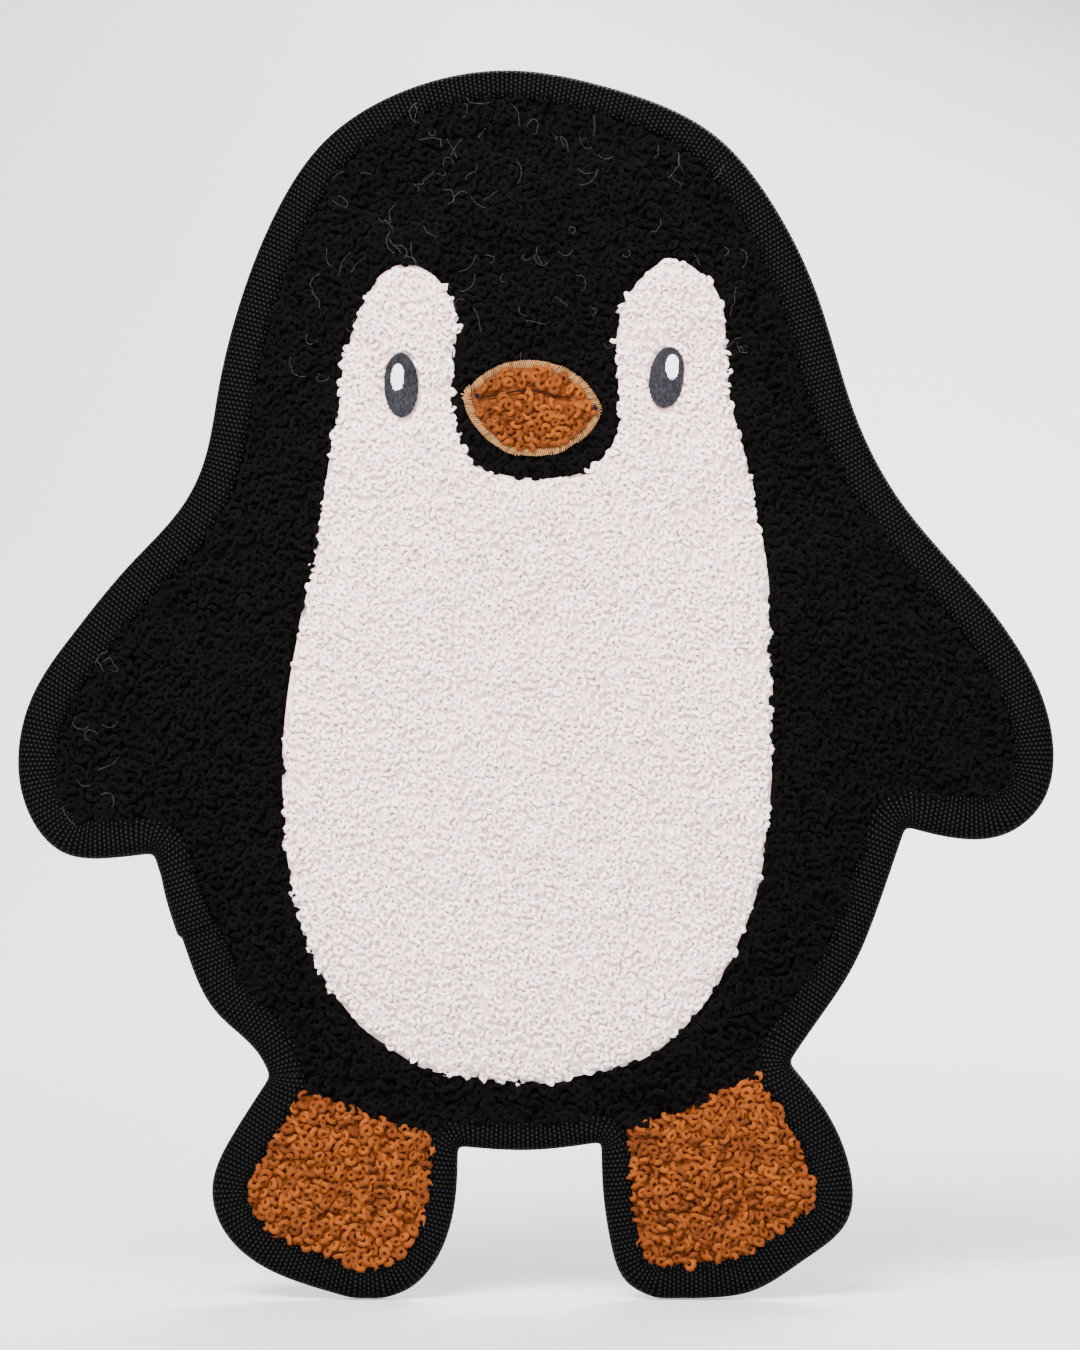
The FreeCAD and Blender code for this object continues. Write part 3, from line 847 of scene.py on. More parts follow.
white_edge = offset_line(belly_line, -WHITE_OVER_SEAM)
white_loops = grow_pile(front_points, flat_faces, "white", white_yarn, 3)
white_pile = pile_pieces("belly", *white_loops, white_yarn,
                         lambda c: open_to_pile(c) & inside(jittered(c), white_edge))
black_loops = grow_pile(front_points, flat_faces, "black", black_yarn, 4)
black_pile = pile_pieces("front", *black_loops, black_yarn,
                         lambda c: open_to_pile(c) & clear_of_belly(c) & ~is_foot(c))
orange_loops = grow_pile(front_points, flat_faces, "orange", orange_yarn, 5)
orange_pile = pile_pieces("front", *orange_loops, orange_yarn, lambda c: open_to_pile(c) & is_foot(c))
back_loops = grow_pile(back_points, flat_faces[:, ::-1], "back", black_yarn, 6, side=1)
back_pile = pile_pieces("back", *back_loops, black_yarn, clear_of_tape)
for name, (piece, flat, area, part) in grounds.items():
    if name == "belly_cloth":
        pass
    elif "back" in name:
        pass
    elif "foot" in name:
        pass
    else:
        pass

# Edge tape -----------------------------------------------------------------------------------------------
# One woven nylon tape, folded in half over the raw edges and sewn through near its inner edge. It turns
# every corner by fanning out, and its end laps over its start low on the left side.
TAPE_STEP = 0.0013  # between the tape's cross rows
TAPE_FOLD = 0.0030  # how far in the rounded fold reaches
TAPE_HALF = 0.00365  # half the thickness over both legs
TAPE_WEAVE = 0.00112  # from one float of the weave to the next
CORNER_ROWS = 0.0045  # length that each radian of a corner counts for when the rows are shared out
LEAST_ADVANCE = 0.0001  # of the tape's middle from one point of the edge to the next
TAPE_UNEVEN = 0.00022  # of the tape's inner edge, and of its thickness there
WEAVE_SWAY = 0.00035  # how far its threads wander
WEAVE_DEPTH = 0.00035
LAP_AT = (-0.0885, 0.0905)  # where the end lies on top
LAP_LIFT = 0.0008
LAP_LENGTH = 0.016


def tape_rows():
    """The tape's cross rows (place, cover and heading), the headings smoothed, and how far along each is."""
    ahead = np.roll(edge_fine[:, :2], -1, axis=0) - np.roll(edge_fine[:, :2], 1, axis=0)
    heading = np.unwrap(np.arctan2(ahead[:, 1], ahead[:, 0]))
    fine = np.hstack([edge_fine, heading[:, None]])
    turned = heading[-1] - heading[0]
    closing = fine[0].copy()
    closing[3] += 2 * math.pi * round(turned / (2 * math.pi))
    fine = np.vstack([fine, closing])
    step = np.linalg.norm(np.diff(fine[:, :2], axis=0), axis=1)
    bend = np.diff(fine[:, 3])
    drawn = np.concatenate([[0], np.cumsum(step + CORNER_ROWS * np.abs(bend))])
    middle = np.concatenate([[0], np.cumsum(np.maximum(step + bend * edge_fine[:, 2] / 2, LEAST_ADVANCE))])
    count = int(drawn[-1] / TAPE_STEP)
    s = np.linspace(0, drawn[-1], count + 1)[:-1]
    rows = np.stack([np.interp(s, drawn, fine[:, c]) for c in range(4)], axis=1)
    length = np.interp(s, drawn, middle)
    turn = closing[3] - fine[0, 3]
    reach = 4
    padded = np.concatenate([rows[-reach:, 3] - turn, rows[:, 3], rows[:reach, 3] + turn])
    smoothed = np.convolve(padded, np.ones(2 * reach + 1) / (2 * reach + 1), "valid")
    return rows, smoothed, length


def tape_section(cover):
    """Across the tape from the front leg's edge, round the fold, to the back one's: in, out and length."""
    leg = np.linspace(cover - 0.0011, TAPE_FOLD, 8)
    front = [(cover - 0.0002, -0.0021), (cover, -0.0028), (cover - 0.0004, -0.0035)]
    front += [(d, -TAPE_HALF) for d in leg]
    fold = [(TAPE_FOLD * (1 - math.sin(a)), -TAPE_HALF * math.cos(a))
            for a in np.linspace(0, math.pi, 9)[1:-1]]
    section = np.array(front + fold + [(d, -y) for d, y in front[::-1]])
    run = np.concatenate([[0], np.cumsum(np.linalg.norm(np.diff(section, axis=0), axis=1))])
    return section, run - run[-1] / 2


tape_line_rows, tape_smooth, tape_length = tape_rows()
lap_row = int(np.argmin(np.linalg.norm(tape_line_rows[:, :2] - np.array(LAP_AT), axis=1)))


def tape_row(i):
    """One cross row's points and its place across the tape."""
    x, z, cover, heading = tape_line_rows[i]
    cover += TAPE_UNEVEN * noise.noise(Vector((tape_length[i] * 130, 5, 0)))
    section, across = tape_section(cover)
    past_lap = tape_length[i] - tape_length[lap_row]
    lift = LAP_LIFT * (1 - max(0.0, past_lap / LAP_LENGTH) ** 3) if 0 < past_lap < LAP_LENGTH else 0.0
    deep = np.clip(section[:, 0] / cover, 0, 1)
    angle = heading * (1 - deep) + tape_smooth[i] * deep
    inward = np.stack([np.sin(angle), -np.cos(angle)], axis=1)
    pucker = TAPE_UNEVEN * noise.noise(Vector((tape_length[i] * 160, 9, 0))) * deep
    thick = 1 + (lift + pucker) / TAPE_HALF
    flat_place = np.array([x, z]) + inward * (section[:, :1] - lift)
    return np.stack([flat_place[:, 0], section[:, 1] * thick, flat_place[:, 1]], axis=1), across


rows_made = [tape_row(i) for i in range(len(tape_line_rows))]
row_count = len(rows_made)
row_points = np.array([row for row, _ in rows_made])
row_across = np.array([across for _, across in rows_made])


def row_parts():
    """The part that each cross row belongs to. A row that only touches a lobe's cloth goes with the lobe."""
    width = row_points.shape[1]
    each = lobe_of(row_points.reshape(-1, 3)[:, [0, 2]]).reshape(row_count, width)
    return [next((name for name in row if name != "torso"), "torso") for row in each]


def runs_of(parts):
    """Stretches of neighbouring rows on one part, as (part, row numbers), round the closed edge."""
    first = next(i for i in range(len(parts)) if parts[i] != parts[i - 1])
    order = [(first + k) % len(parts) for k in range(len(parts))]
    runs = []
    for i in order:
        if runs and runs[-1][0] == parts[i]:
            runs[-1][1].append(i)
        else:
            runs.append((parts[i], [i]))
    return runs


def weave_group():
    """Plain woven webbing, mapped in metres: its floats' relief, with painted glints on their tops over the
    webbing's dark colour.
    """
    group, given, result = shader_group(
        "webbing_weave",
        [("Pitch", "Float", TAPE_WEAVE), ("Relief", "Float", 0.8), ("Painted Glint Colour", "Color", (1, 1, 1, 1)),
         ("Webbing Colour", "Color", (0, 0, 0, 1))],
        [("Colour", "Color"), ("Normal", "Vector"), ("Roughness", "Float")],
    )
    calc = functools.partial(maths, group)
    where = add(group, "ShaderNodeUVMap", uv_map="tape").outputs["UV"]
    wander = add(group, "ShaderNodeTexNoise", {"Scale": 300})
    fibres = add(group, "ShaderNodeTexNoise", {"Scale": 4000, "Detail": 2})
    split = add(group, "ShaderNodeSeparateXYZ")
    join(group, *((where, node.inputs["Vector"]) for node in (wander, fibres, split)))
    sway = calc("MULTIPLY", calc("SUBTRACT", wander.outputs["Fac"], 0.5), WEAVE_SWAY)
    along, across = (
        calc("DIVIDE", calc("ADD", split.outputs[axis], sway), given.outputs["Pitch"]) for axis in "XY")

    def hump(value):
        """A rounded rise between each whole number and the next."""
        return calc("ABSOLUTE", calc("SINE", calc("MULTIPLY", value, math.pi)))

    brick = calc("ADD", across, calc("MULTIPLY", calc("FLOOR", along), 0.5))
    float_top = calc("ADD", calc("MULTIPLY", hump(brick), 0.55), 0.45)
    bead = calc("MULTIPLY", calc("POWER", hump(along), 0.8), float_top)
    height = calc("ADD", bead, calc("MULTIPLY", fibres.outputs["Fac"], 0.12))
    # A painted highlight: the pale colour shows only as small glints on the floats' tops; elsewhere the
    # webbing keeps its dark colour.
    painted_glint = calc("MULTIPLY", calc("POWER", bead, 8), calc("MULTIPLY", fibres.outputs["Fac"], 2))
    join(group,
         (mixed(group, painted_glint, given.outputs["Webbing Colour"], given.outputs["Painted Glint Colour"]),
          result.inputs["Colour"]),
         (raised(group, height, given.outputs["Relief"], WEAVE_DEPTH), result.inputs["Normal"]),
         (calc("SUBTRACT", 0.75, calc("MULTIPLY", bead, 0.3)), result.inputs["Roughness"]))
    return group


# The webbing's own near-black colour, and the pale colour of its painted glints.
webbing, _, webbing_surface = fresh_material("edge_webbing", weave_group(), {
    "Painted Glint Colour": (0.013, 0.0132, 0.0145, 1), "Webbing Colour": (0.0003, 0.0003, 0.00035, 1)})
webbing_surface.inputs["Specular IOR Level"].default_value = 0.02


def lay_tape(name, rows, part, nodes_replaced):
    """The tape over the given rows, as one piece with its weave's map."""
    width = row_points.shape[1]
    points = row_points[rows].reshape(-1, 3)
    a = (np.arange(len(rows) - 1) * width)[:, None] + np.arange(width - 1)[None]
    faces = np.stack([a, a + width, a + width + 1, a + 1], axis=-1).reshape(-1, 4)
    piece = new_piece(name, points, faces, webbing)
    lengths = tape_length[rows].copy()
    wraps = np.flatnonzero(np.diff(lengths) < 0)
    for k in wraps:
        lengths[k + 1:] += tape_total
    places = np.stack([np.repeat(lengths, width), row_across[rows].reshape(-1)], axis=1)
    layer = piece.data.uv_layers.new(name="tape")
    corners = np.empty(len(piece.data.loops), int)
    piece.data.loops.foreach_get("vertex_index", corners)
    layer.data.foreach_set("uv", places[corners].reshape(-1))
    fasten(piece, part)
    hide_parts(*nodes_replaced)
    return piece


tape_total = tape_length[-1] + TAPE_STEP
tape_names = {  # by the side that the stretch's middle is on
    "head": "head_binding", "crotch": "crotch_binding",
    "left": "left_side_binding", "right": "right_side_binding",
}


def body_stretch(rows):
    """Which stretch of the body's tape these rows are."""
    x, z = tape_line_rows[rows[len(rows) // 2], :2]
    if z > 0.2:
        return "head"
    if z < 0.05:
        return "crotch"
    return "left" if x < 0 else "right"


tape_runs = []
all_runs = runs_of(row_parts())
for number, (part, rows) in enumerate(all_runs):
    following = all_runs[(number + 1) % len(all_runs)]
    node = tape_names[body_stretch(rows)] if part == "torso" else f"{part}_binding"
    tape_runs.append((node, part, rows + following[1][:1]))
for node, part, rows in tape_runs:
    lay_tape(node.replace("binding", "tape"), rows, part, [node])

# Tape stitching ------------------------------------------------------------------------------------------
# A lock stitch in black thread runs just inside the tape's inner edge, through both legs and both cloths, so
# that the same row shows on the front and on the back.
STITCH_PITCH = 0.0034
STITCH_LENGTH = 0.0026
STITCH_IN = 0.0014  # from the tape's inner edge
THREAD_RADIUS = 0.00024
SEWING_FIBRES = 5000.0  # turns in a metre of a sewing thread's fibres


def thread_piece(tree, name, lines, values, material, closed=False, facings=None, reaches=None):
    """A piece that a thread tree makes along some lines of points."""
    points, edges = [], []
    for line in lines:
        base = len(points)
        points += [tuple(float(c) for c in p) for p in line]
        edges += [(base + i, base + i + 1) for i in range(len(line) - 1)]
        if closed:
            edges.append((base + len(line) - 1, base))
    mesh = bpy.data.meshes.new(name)
    mesh.from_pydata(points, edges, [])
    if facings is not None:
        layer = mesh.attributes.new("facing", "FLOAT_VECTOR", "POINT")
        layer.data.foreach_set("vector", np.array(facings, float).reshape(-1))
        mesh.attributes.new("reach", "FLOAT", "POINT").data.foreach_set("value", np.array(reaches, float))
    source = bpy.data.objects.new("growing", mesh)
    bpy.context.collection.objects.link(source)
    made = run_tree(tree, source, {**values, "Material": material})
    made.name = name
    piece = bpy.data.objects.new(name, made)
    bpy.context.collection.objects.link(piece)
    return piece


def stitch_tree():
    """Plump stitches laid end to end along lines."""
    tree, given, result = geometry_tree("running_stitch", [
        ("Pitch", "Float", 0.0034), ("Stitch Length", "Float", 0.0026), ("Thread Radius", "Float", 0.00024),
        ("Material", "Material", None)])
    line = add(tree, "GeometryNodeMeshToCurve")
    spaced = add(tree, "GeometryNodeResampleCurve", mode="LENGTH")
    join(tree, (given, "Geometry", line, "Mesh"), (line, "Curve", spaced, "Curve"),
         (given, "Pitch", spaced, "Length"))

    ball = add(tree, "GeometryNodeMeshUVSphere", {"Segments": 6, "Rings": 6, "Radius": 1.0})
    size = add(tree, "ShaderNodeCombineXYZ")
    stretched = add(tree, "GeometryNodeTransform")
    soft = add(tree, "GeometryNodeSetShadeSmooth")
    join(tree, (maths(tree, "MULTIPLY", given.outputs["Stitch Length"], 0.5), size.inputs["X"]),
         (given, "Thread Radius", size, "Y"), (given, "Thread Radius", size, "Z"),
         (ball, "Mesh", stretched, "Geometry"), (size, "Vector", stretched, "Scale"),
         (stretched, "Geometry", soft, "Geometry"))

    tangent = add(tree, "GeometryNodeInputTangent")
    aim = add(tree, "FunctionNodeAlignRotationToVector", axis="X")
    place = add(tree, "GeometryNodeInstanceOnPoints")
    join(tree, (tangent, "Tangent", aim, "Vector"), (spaced, "Curve", place, "Points"),
         (soft, "Geometry", place, "Instance"), (aim, "Rotation", place, "Rotation"))
    finish_tree(tree, given, shaded_instances(tree, place, 21), result)
    return tree


running_stitch = stitch_tree()
black_thread = yarn_material("black_thread", (0.0005, 0.0005, 0.0006), (0.002, 0.002, 0.0022), sheen=0.0,
                             relief=0.5, fibre_scale=SEWING_FIBRES, shine=0.01)
stitch_values = {"Pitch": STITCH_PITCH, "Stitch Length": STITCH_LENGTH, "Thread Radius": THREAD_RADIUS}


def stitch_line(rows, side):
    """Where the stitch row runs on the front (side -1) or the back."""
    line = []
    for i in rows:
        x, z, cover, _ = tape_line_rows[i]
        angle = tape_smooth[i]
        depth = cover - STITCH_IN
        line.append((x + math.sin(angle) * depth, side * (TAPE_HALF + THREAD_RADIUS * 0.4),
                     z - math.cos(angle) * depth))
    return line


for node, part, rows in tape_runs:
    row = thread_piece(running_stitch, node.replace("binding", "tape_stitches"),
                       [stitch_line(rows, -1), stitch_line(rows, 1)], stitch_values, black_thread)
    fasten(row, part)
    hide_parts(f"{node}_stitch")

# Panel seams ---------------------------------------------------------------------------------------------
# The white panel and the orange feet are sewn edge to edge into the black cloth. The seam's thread lies at
# the bottom of the dip, almost buried in the pile.
SEAM_LIFT = 0.0002  # of the seam's thread over the cloth
SEAM_BACK = 0.0003  # how far a foot's seam lies on the body's side of the join
white_thread = yarn_material("white_thread", (0.45, 0.36, 0.32), (0.75, 0.66, 0.62), relief=0.5,
                             fibre_scale=SEWING_FIBRES)


def lines_on_front(points, lift):
    """The points laid on the front cloth and lifted off it."""
    return [tuple(on_front(x, z, lift)[0]) for x, z in points[:, :2]]


belly_seam = thread_piece(running_stitch, "belly_seam", [lines_on_front(belly_line, SEAM_LIFT)],
                          stitch_values, white_thread, closed=True)
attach(belly_seam, "torso")
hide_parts("belly_seam_thread")
for lobe in ("left_foot", "right_foot"):
    across = seam_across(lobe)
    gap, nearest = distance(across, edge_fine)
    across = across[gap > edge_fine[nearest, 2]] - fold_of(lobe)[2] * SEAM_BACK
    seam = thread_piece(running_stitch, f"{lobe}_seam", [lines_on_front(across, SEAM_LIFT)], stitch_values,
                        black_thread)
    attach(seam, "torso")
    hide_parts(f"{lobe}_seam_thread")

# Beak ----------------------------------------------------------------------------------------------------
# An almond of orange boucle laid on the face over a little wadding, edged with a dense tan satin stitch. A
# dark thread draws it in along the mouth, and a navy knot holds each tip.
BEAK_LIFT = 0.0012  # its edge over the cloth of the face
BEAK_DOME = 0.0022
BEAK_BORDER = 0.0010  # half the satin stitch's width
BEAK_CROWN = 0.009  # from the beak's edge to where it is fullest
BEAK_EDGE_BARE = 0.0019  # the loops' middles stay this far off the edge
BEAK_ROOT = 0.3  # its pile's root, as PILE_ROOT
CREASE = 0.0008  # the mouth's depth and half width
MOUTH_OPEN = 0.0014  # the loops' middles stay this far off the crease
KNOTS = ((-0.0143, 0.2245), (0.0145, 0.2215))
KNOT_REACH = 0.0006  # of each of a knot's three stitches
KNOT_TURNS = (0.3, 1.3, 2.2)  # the ways that they lie, in radians
SATIN_SLANT = 0.0004  # how far a satin stitch leans along its line, either way
MOUTH = ((-0.0136, 0.2243), (-0.0035, 0.2262), (0.0085, 0.2240))


def beak_place(points, extra=0.0):
    """Where the beak's surface lies over the face at points across and up, and the way it faces."""
    edge_gap, _ = distance(points, beak_outline)
    full = np.clip(edge_gap / BEAK_CROWN, 0, 1)
    lifts = BEAK_LIFT + BEAK_DOME * full * (2 - full) + extra
    lifts -= CREASE * np.exp(-(distance(points, mouth_line)[0] / CREASE) ** 2)
    found = [on_front(x, z, lift) for (x, z), lift in zip(points, lifts)]
    return np.array([tuple(place) for place, _ in found]), np.array([tuple(facing) for _, facing in found])


mouth_line = smooth_run([(x * 1000, z * 1000) for x, z in MOUTH], 40) * MM
beak_across, beak_up = 40, 22
beak_plan = np.array([
    lower * (1 - v) + upper * v
    for lower, upper in zip(arc_through(BEAK_TIPS[0], BEAK_BOTTOM, BEAK_TIPS[1], beak_across),
                            arc_through(BEAK_TIPS[0], BEAK_TOP, BEAK_TIPS[1], beak_across))
    for v in np.linspace(0.0, 1.0, beak_up)
])
beak_plan = beak_plan[beak_up - 1:len(beak_plan) - beak_up + 1]
beak_grid = np.arange((beak_across - 2) * beak_up).reshape(beak_across - 2, beak_up) + 1
beak_corners = beak_grid[:-1, :-1], beak_grid[1:, :-1], beak_grid[1:, 1:], beak_grid[:-1, 1:]
beak_faces = np.stack(beak_corners, axis=-1).reshape(-1, 4)
beak_points = beak_place(beak_plan)[0]
beak_cloth = new_piece("beak_cloth", beak_points, beak_faces, orange_ground)
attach(beak_cloth, "torso")
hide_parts("beak_patch")

loops, shades, one_loop = grow_pile(beak_points, beak_faces, "beak", orange_yarn, 8, root=BEAK_ROOT)
centres = loops.mean(axis=1)[:, [0, 2]]
kept = distance(centres, beak_outline)[0] > BEAK_EDGE_BARE
kept &= distance(centres, mouth_line)[0] > MOUTH_OPEN
beak_pile = lay_pile("beak_pile", loops[kept], shades[kept], one_loop, orange_yarn)
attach(beak_pile, "torso")


def satin_tree():
    """Threads side by side across a line, each as long as the line's reach there, arched over the padding."""
    tree, given, result = geometry_tree("satin_stitch", [
        ("Spacing", "Float", 0.0003), ("Thread Radius", "Float", 0.00017), ("Rise", "Float", 0.0004),
        ("Material", "Material", None)])
    line = add(tree, "GeometryNodeMeshToCurve")
    spaced = add(tree, "GeometryNodeResampleCurve", mode="LENGTH")
    join(tree, (given, "Geometry", line, "Mesh"), (line, "Curve", spaced, "Curve"),
         (given, "Spacing", spaced, "Length"))

    strand = add(tree, "GeometryNodeCurvePrimitiveLine", {
        "Start": (-SATIN_SLANT, -1, 0), "End": (SATIN_SLANT, 1, 0)})
    parts = add(tree, "GeometryNodeResampleCurve", {"Count": 7})
    position = add(tree, "GeometryNodeInputPosition")
    split = add(tree, "ShaderNodeSeparateXYZ")
    lift = add(tree, "ShaderNodeCombineXYZ")
    arch = add(tree, "GeometryNodeSetPosition")
    fall = maths(tree, "SUBTRACT", 1, maths(tree, "POWER", split.outputs["Y"], 2))
    join(tree, (strand, "Curve", parts, "Curve"), (parts, "Curve", arch, "Geometry"),
         (position, "Position", split, "Vector"),
         (maths(tree, "MULTIPLY", fall, given.outputs["Rise"]), lift.inputs["Z"]),
         (lift, "Vector", arch, "Offset"))
    arched = round_thread(tree, arch.outputs["Geometry"], given.outputs["Thread Radius"], 5)

    tangent = add(tree, "GeometryNodeInputTangent")
    aim = add(tree, "FunctionNodeAlignRotationToVector", axis="X")
    facing = add(tree, "GeometryNodeInputNamedAttribute", {"Name": "facing"}, data_type="FLOAT_VECTOR")
    stand = add(tree, "FunctionNodeAlignRotationToVector", axis="Z", pivot_axis="X")
    reach = add(tree, "GeometryNodeInputNamedAttribute", {"Name": "reach"})
    uneven = maths(tree, "MULTIPLY", reach.outputs["Attribute"], random_value(tree, "FLOAT", 0.93, 1.05, 31))
    size = add(tree, "ShaderNodeCombineXYZ", {"X": 1, "Z": 1})
    place = add(tree, "GeometryNodeInstanceOnPoints")
    join(tree, (tangent, "Tangent", aim, "Vector"), (aim, "Rotation", stand, "Rotation"),
         (facing, "Attribute", stand, "Vector"), (uneven, size.inputs["Y"]),
         (spaced, "Curve", place, "Points"), (arched, place.inputs["Instance"]),
         (stand, "Rotation", place, "Rotation"), (size, "Vector", place, "Scale"))
    finish_tree(tree, given, shaded_instances(tree, place, 32), result)
    return tree


satin_stitch = satin_tree()
gold_thread = yarn_material("tan_satin", (0.06, 0.018, 0.003), (0.36, 0.175, 0.052), sheen=0.03, relief=0.3,
                            fibre_scale=SEWING_FIBRES, shine=0.4)
border_fine = evened(beak_outline, 0.0004, closed=True)
border_line = evened(offset_line(border_fine, BEAK_BORDER * 0.8), 0.0006, closed=True)
border_places, border_facings = beak_place(border_line, 0.0003)
beak_border = thread_piece(
    satin_stitch, "beak_border", [border_places],
    {"Spacing": 0.00052, "Thread Radius": 0.0002, "Rise": 0.0004}, gold_thread, closed=True,
    facings=border_facings, reaches=np.full(len(border_line), BEAK_BORDER))
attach(beak_border, "torso")
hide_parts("beak_border")


def thread_tree():
    """A plain thread along each line."""
    tree, given, result = geometry_tree("loose_thread", [
        ("Thread Radius", "Float", 0.0001), ("Material", "Material", None)])
    line = add(tree, "GeometryNodeMeshToCurve")
    join(tree, (given, "Geometry", line, "Mesh"))
    thread = round_thread(tree, line.outputs["Curve"], given.outputs["Thread Radius"], 5, capped=True)
    finish_tree(tree, given, thread, result)
    return tree


loose_thread = thread_tree()
mouth_thread = yarn_material("mouth_thread", (0.012, 0.003, 0.001), (0.03, 0.008, 0.002), sheen=0.0,
                             shine=0.05)
navy_thread = yarn_material("navy_thread", (0.003, 0.0035, 0.007), (0.012, 0.014, 0.026), sheen=0.0,
                            shine=0.05)
mouth_stitch = thread_piece(loose_thread, "mouth_stitch", [beak_place(mouth_line, 0.0012)[0]],
                            {"Thread Radius": 0.00024}, mouth_thread)
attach(mouth_stitch, "torso")
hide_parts("beak_mouth_stitch")
knot_lines = []
for x, z in KNOTS:
    for turn in KNOT_TURNS:
        dx, dz = math.cos(turn) * KNOT_REACH, math.sin(turn) * KNOT_REACH
        ends = np.array([(x - dx, z - dz), (x, z), (x + dx, z + dz)])
        places = beak_place(ends, 0.0016)[0]
        places[1, 1] -= 0.0005
        knot_lines.append(places)
knots = thread_piece(loose_thread, "beak_knots", knot_lines, {"Thread Radius": 0.00026}, navy_thread)
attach(knots, "torso")

# Eyes ----------------------------------------------------------------------------------------------------
# Filled embroidery straight through the white pile, in slate grey, with a pale lilac highlight sewn over it.
EYE_COLUMN = 0.00026  # from one column of stitches to the next
EYE_STITCH = 0.00062  # from stitch to stitch in a column
EYE_CROWN = 0.0005  # how much fuller its middle is than its edge
EYE_LIFT, HIGHLIGHT_LIFT = 0.0014, 0.0021  # of their edges over the cloth of the face
HIGHLIGHTS = {
    "left_eye_highlight": ((-0.0341, 0.2302), 0.0016, 0.0031, 2.0),
    "right_eye_highlight": ((0.0337, 0.2318), 0.0016, 0.0028, 2.0),
}
slate_thread = yarn_material("slate_satin", (0.001, 0.0011, 0.0015), (0.029, 0.029, 0.035), sheen=0.0,
                             relief=0.3, fibre_scale=SEWING_FIBRES, shine=0.08)
lilac_thread = yarn_material("lilac_satin", (0.55, 0.54, 0.64), (0.88, 0.87, 0.95), sheen=0.2, relief=0.3,
                             fibre_scale=SEWING_FIBRES)


def embroidered_oval(name, oval, lift, material):
    """An oval filled with columns of short stitches along its length."""
    (x, z), half_width, half_height, lean = oval
    turn = math.radians(lean)
    facing = on_front(x, z)[1]
    columns = []
    for k, u in enumerate(np.arange(-0.96, 0.961, EYE_COLUMN / half_width)):
        reach = math.sqrt(1 - u * u)
        start = -reach + EYE_STITCH / half_height * (0.5 * (k % 2) + 0.1)
        column = []
        for v in np.linspace(start, reach, 9):
            across, up = u * half_width, v * half_height
            height = lift + EYE_CROWN * (1 - u * u) * (1 - v * v)
            place = on_front(x + across * math.cos(turn) + up * math.sin(turn),
                             z - across * math.sin(turn) + up * math.cos(turn))[0]
            column.append(tuple(place + facing * height))
        columns.append(column)
    piece = thread_piece(running_stitch, name, columns, {
        "Pitch": EYE_STITCH, "Stitch Length": EYE_STITCH * 1.7, "Thread Radius": 0.00020}, material)
    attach(piece, "torso")
    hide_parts(name)


for name, oval in EYES.items():
    embroidered_oval(name, oval, EYE_LIFT, slate_thread)
for name, oval in HIGHLIGHTS.items():
    embroidered_oval(name, oval, HIGHLIGHT_LIFT, lilac_thread)

# Lint ----------------------------------------------------------------------------------------------------
# Pale hairs and dust that a dark boucle picks up, mostly on the head.
HAIR_RADIUS = 0.000022
HAIR_POINTS = 11
ON_PILE = 0.0019  # how far over the ground a hair lies
lint = yarn_material("lint", (0.06, 0.058, 0.057), (0.24, 0.235, 0.235), sheen=0.0, relief=0.2)
lint_rng = np.random.default_rng(12)


def lint_lines(count, low, high):
    """Curved hairs lying on the pile between two corners."""
    lines = []
    while len(lines) < count:
        x, z = lint_rng.uniform(low, high)
        here = np.array([(x, z)])
        if not open_to_pile(here)[0] or inside(here, belly_line)[0]:
            continue
        heading, curl = lint_rng.uniform(0, 6.28), lint_rng.normal(0, 0.22)
        step = lint_rng.uniform(0.00025, 0.0007)
        line = []
        for _ in range(HAIR_POINTS):
            if not inside(np.array([(x, z)]), rim)[0]:
                break
            line.append(tuple(on_front(x, z, ON_PILE)[0]))
            x, z = x + step * math.cos(heading), z + step * math.sin(heading)
            heading += curl + lint_rng.normal(0, 0.12)
        if len(line) > 3:
            lines.append(line)
    return lines


head_lint = thread_piece(loose_thread, "head_lint", lint_lines(85, (-0.06, 0.225), (0.06, 0.298)),
                         {"Thread Radius": HAIR_RADIUS}, lint)
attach(head_lint, "torso")
flipper_lint = thread_piece(loose_thread, "left_flipper_lint",
                            lint_lines(10, (-0.118, 0.122), (-0.100, 0.165)),
                            {"Thread Radius": HAIR_RADIUS}, lint)
fasten(flipper_lint, "left_flipper")

# Filling and squeaker ------------------------------------------------------------------------------------
# Loose polyester fibre fills the body round a blow-moulded squeaker, and thins out to flat wadding in the
# flippers and feet. None of it shows. The squeaker is milky polyethylene, a little uneven from its mould.
WADDING_CLEAR = 0.0010  # from the filling to the cloths
WADDING_LEAST = 0.0004  # half its thickness where the cloths nearly meet
filling_fibre = yarn_material("polyester_filling", (0.55, 0.55, 0.53), (0.85, 0.85, 0.83), sheen=0.4,
                              relief=1.0, fibre_scale=900.0)


def fill_part(name, part, node):
    """The filling between the two cloths of one part."""
    mine = flat_faces[(face_part == part) & ~covered[flat_faces].any(axis=1)]
    front, numbered = cut_out(front_points, mine)
    back, _ = cut_out(back_points, mine)
    front[:, 1] = np.minimum(front[:, 1] + WADDING_CLEAR, -WADDING_LEAST)
    back[:, 1] = np.maximum(back[:, 1] - WADDING_CLEAR, WADDING_LEAST)
    edges = np.vstack([numbered[:, [0, 1]], numbered[:, [1, 2]], numbered[:, [2, 0]]])
    known = {tuple(e) for e in edges}
    count = len(front)
    sides = [(b, a, a + count, b + count) for a, b in edges if (b, a) not in known]
    faces = [list(f) for f in numbered] + [list(f[::-1] + count) for f in numbered] + [list(f) for f in sides]
    filling = new_piece(name, np.vstack([front, back]), faces, filling_fibre)
    fasten(filling, part)
    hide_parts(node)


fill_part("body_filling", "torso", "body_wadding")
for lobe in BEND:
    fill_part(f"{lobe}_filling", lobe, f"{lobe}_wadding")


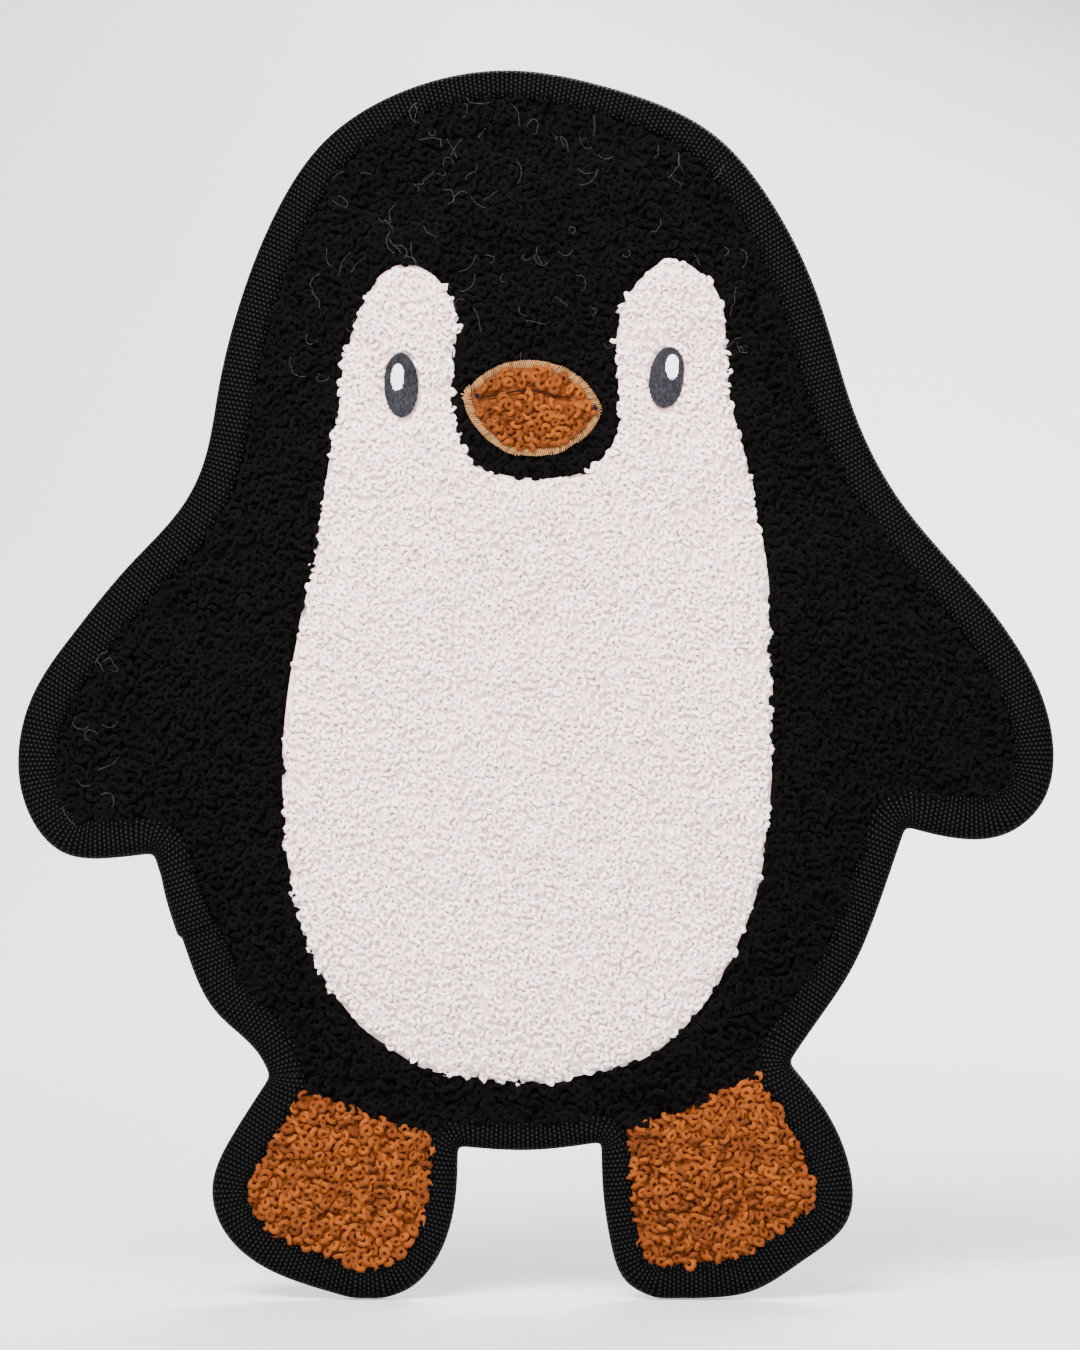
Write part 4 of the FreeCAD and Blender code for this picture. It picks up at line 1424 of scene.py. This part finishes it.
squeaker_plastic, plastic_tree, plastic_surface = fresh_material("squeaker_polyethylene")
place = add(plastic_tree, "ShaderNodeTexCoord")
ripples = add(plastic_tree, "ShaderNodeTexNoise", {"Scale": 180})
bump = add(plastic_tree, "ShaderNodeBump", {"Strength": 0.2, "Distance": 0.0003})
tint = add(plastic_tree, "ShaderNodeValToRGB")
tint.color_ramp.elements[0].color = (0.66, 0.66, 0.62, 1)
tint.color_ramp.elements[1].color = (0.82, 0.82, 0.79, 1)
join(plastic_tree, (place, "Object", ripples, "Vector"), (ripples, "Fac", bump, "Height"),
     (ripples, "Fac", tint, "Fac"), (tint, "Color", plastic_surface, "Base Color"),
     (bump, "Normal", plastic_surface, "Normal"))
plastic_surface.inputs["Roughness"].default_value = 0.42
for node in ("squeaker_bulb", "squeaker_reed"):
    frame["nodes"][node].data.materials.clear()
    frame["nodes"][node].data.materials.append(squeaker_plastic)

# Studio --------------------------------------------------------------------------------------------------
# A pale floor that curves up behind, soft light from above and in front, and a level camera straight ahead.
low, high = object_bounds()
floor_points, floor_faces = [], []
FLOOR_SIDE, FLOOR_FLAT, FLOOR_CURVE = 3.0, 1.2, 0.8  # its reach, where it starts to curve, and how widely
sweep = [(-FLOOR_SIDE, 0.0), (FLOOR_FLAT, 0.0)]
sweep += [(FLOOR_FLAT + FLOOR_CURVE * math.sin(a), FLOOR_CURVE * (1 - math.cos(a)))
          for a in np.linspace(0.1, math.pi / 2, 12)]
sweep += [(FLOOR_FLAT + FLOOR_CURVE, FLOOR_SIDE)]
for y, z in sweep:
    floor_points += [(-FLOOR_SIDE, y, z), (FLOOR_SIDE, y, z)]
for i in range(len(sweep) - 1):
    floor_faces.append((2 * i, 2 * i + 1, 2 * i + 3, 2 * i + 2))
floor_paint, _, floor_surface = fresh_material("studio_floor")
floor_surface.inputs["Base Color"].default_value = (0.62, 0.64, 0.67, 1)
floor_surface.inputs["Roughness"].default_value = 0.8
floor = new_piece("studio_floor", floor_points, floor_faces, floor_paint)
floor.location.z = min(low[2], 0.0) - 0.0002


def soft_light(name, place, size, power, colour=(1, 1, 1)):
    """A square light aimed at the toy's middle."""
    lamp = bpy.data.lights.new(name, "AREA")
    lamp.size = size
    lamp.energy = power
    lamp.color = colour
    light = bpy.data.objects.new(name, lamp)
    light.location = place
    light.rotation_euler = (Vector((0, 0, 0.15)) - Vector(place)).to_track_quat("-Z", "Y").to_euler()
    bpy.context.collection.objects.link(light)


soft_light("key", (-0.5, -1.3, 1.3), 0.9, 138, (1.0, 0.97, 0.96))
soft_light("fill", (1.0, -1.4, 0.6), 1.4, 45, (1.0, 0.97, 0.96))
soft_light("back", (0.4, 1.5, 1.2), 1.2, 90)
world = bpy.data.worlds.new("studio")
world.use_nodes = True
world.node_tree.nodes["Background"].inputs["Color"].default_value = (0.93, 0.95, 1.0, 1)
world.node_tree.nodes["Background"].inputs["Strength"].default_value = 0.55
bpy.context.scene.world = world

CAMERA_AT = (0.001, -1.4, 0.1558)
VIEW_HEIGHT = 0.3375  # of the field of view, at the toy
FILM_HEIGHT = 36  # mm
lens = bpy.data.cameras.new("camera")
lens.sensor_fit = "VERTICAL"
lens.sensor_height = FILM_HEIGHT
lens.lens = FILM_HEIGHT * -CAMERA_AT[1] / VIEW_HEIGHT
lens.clip_start = 0.05
camera = bpy.data.objects.new("camera", lens)
camera.location = CAMERA_AT
camera.rotation_euler = (math.pi / 2, 0, 0)
bpy.context.collection.objects.link(camera)
bpy.context.scene.camera = camera
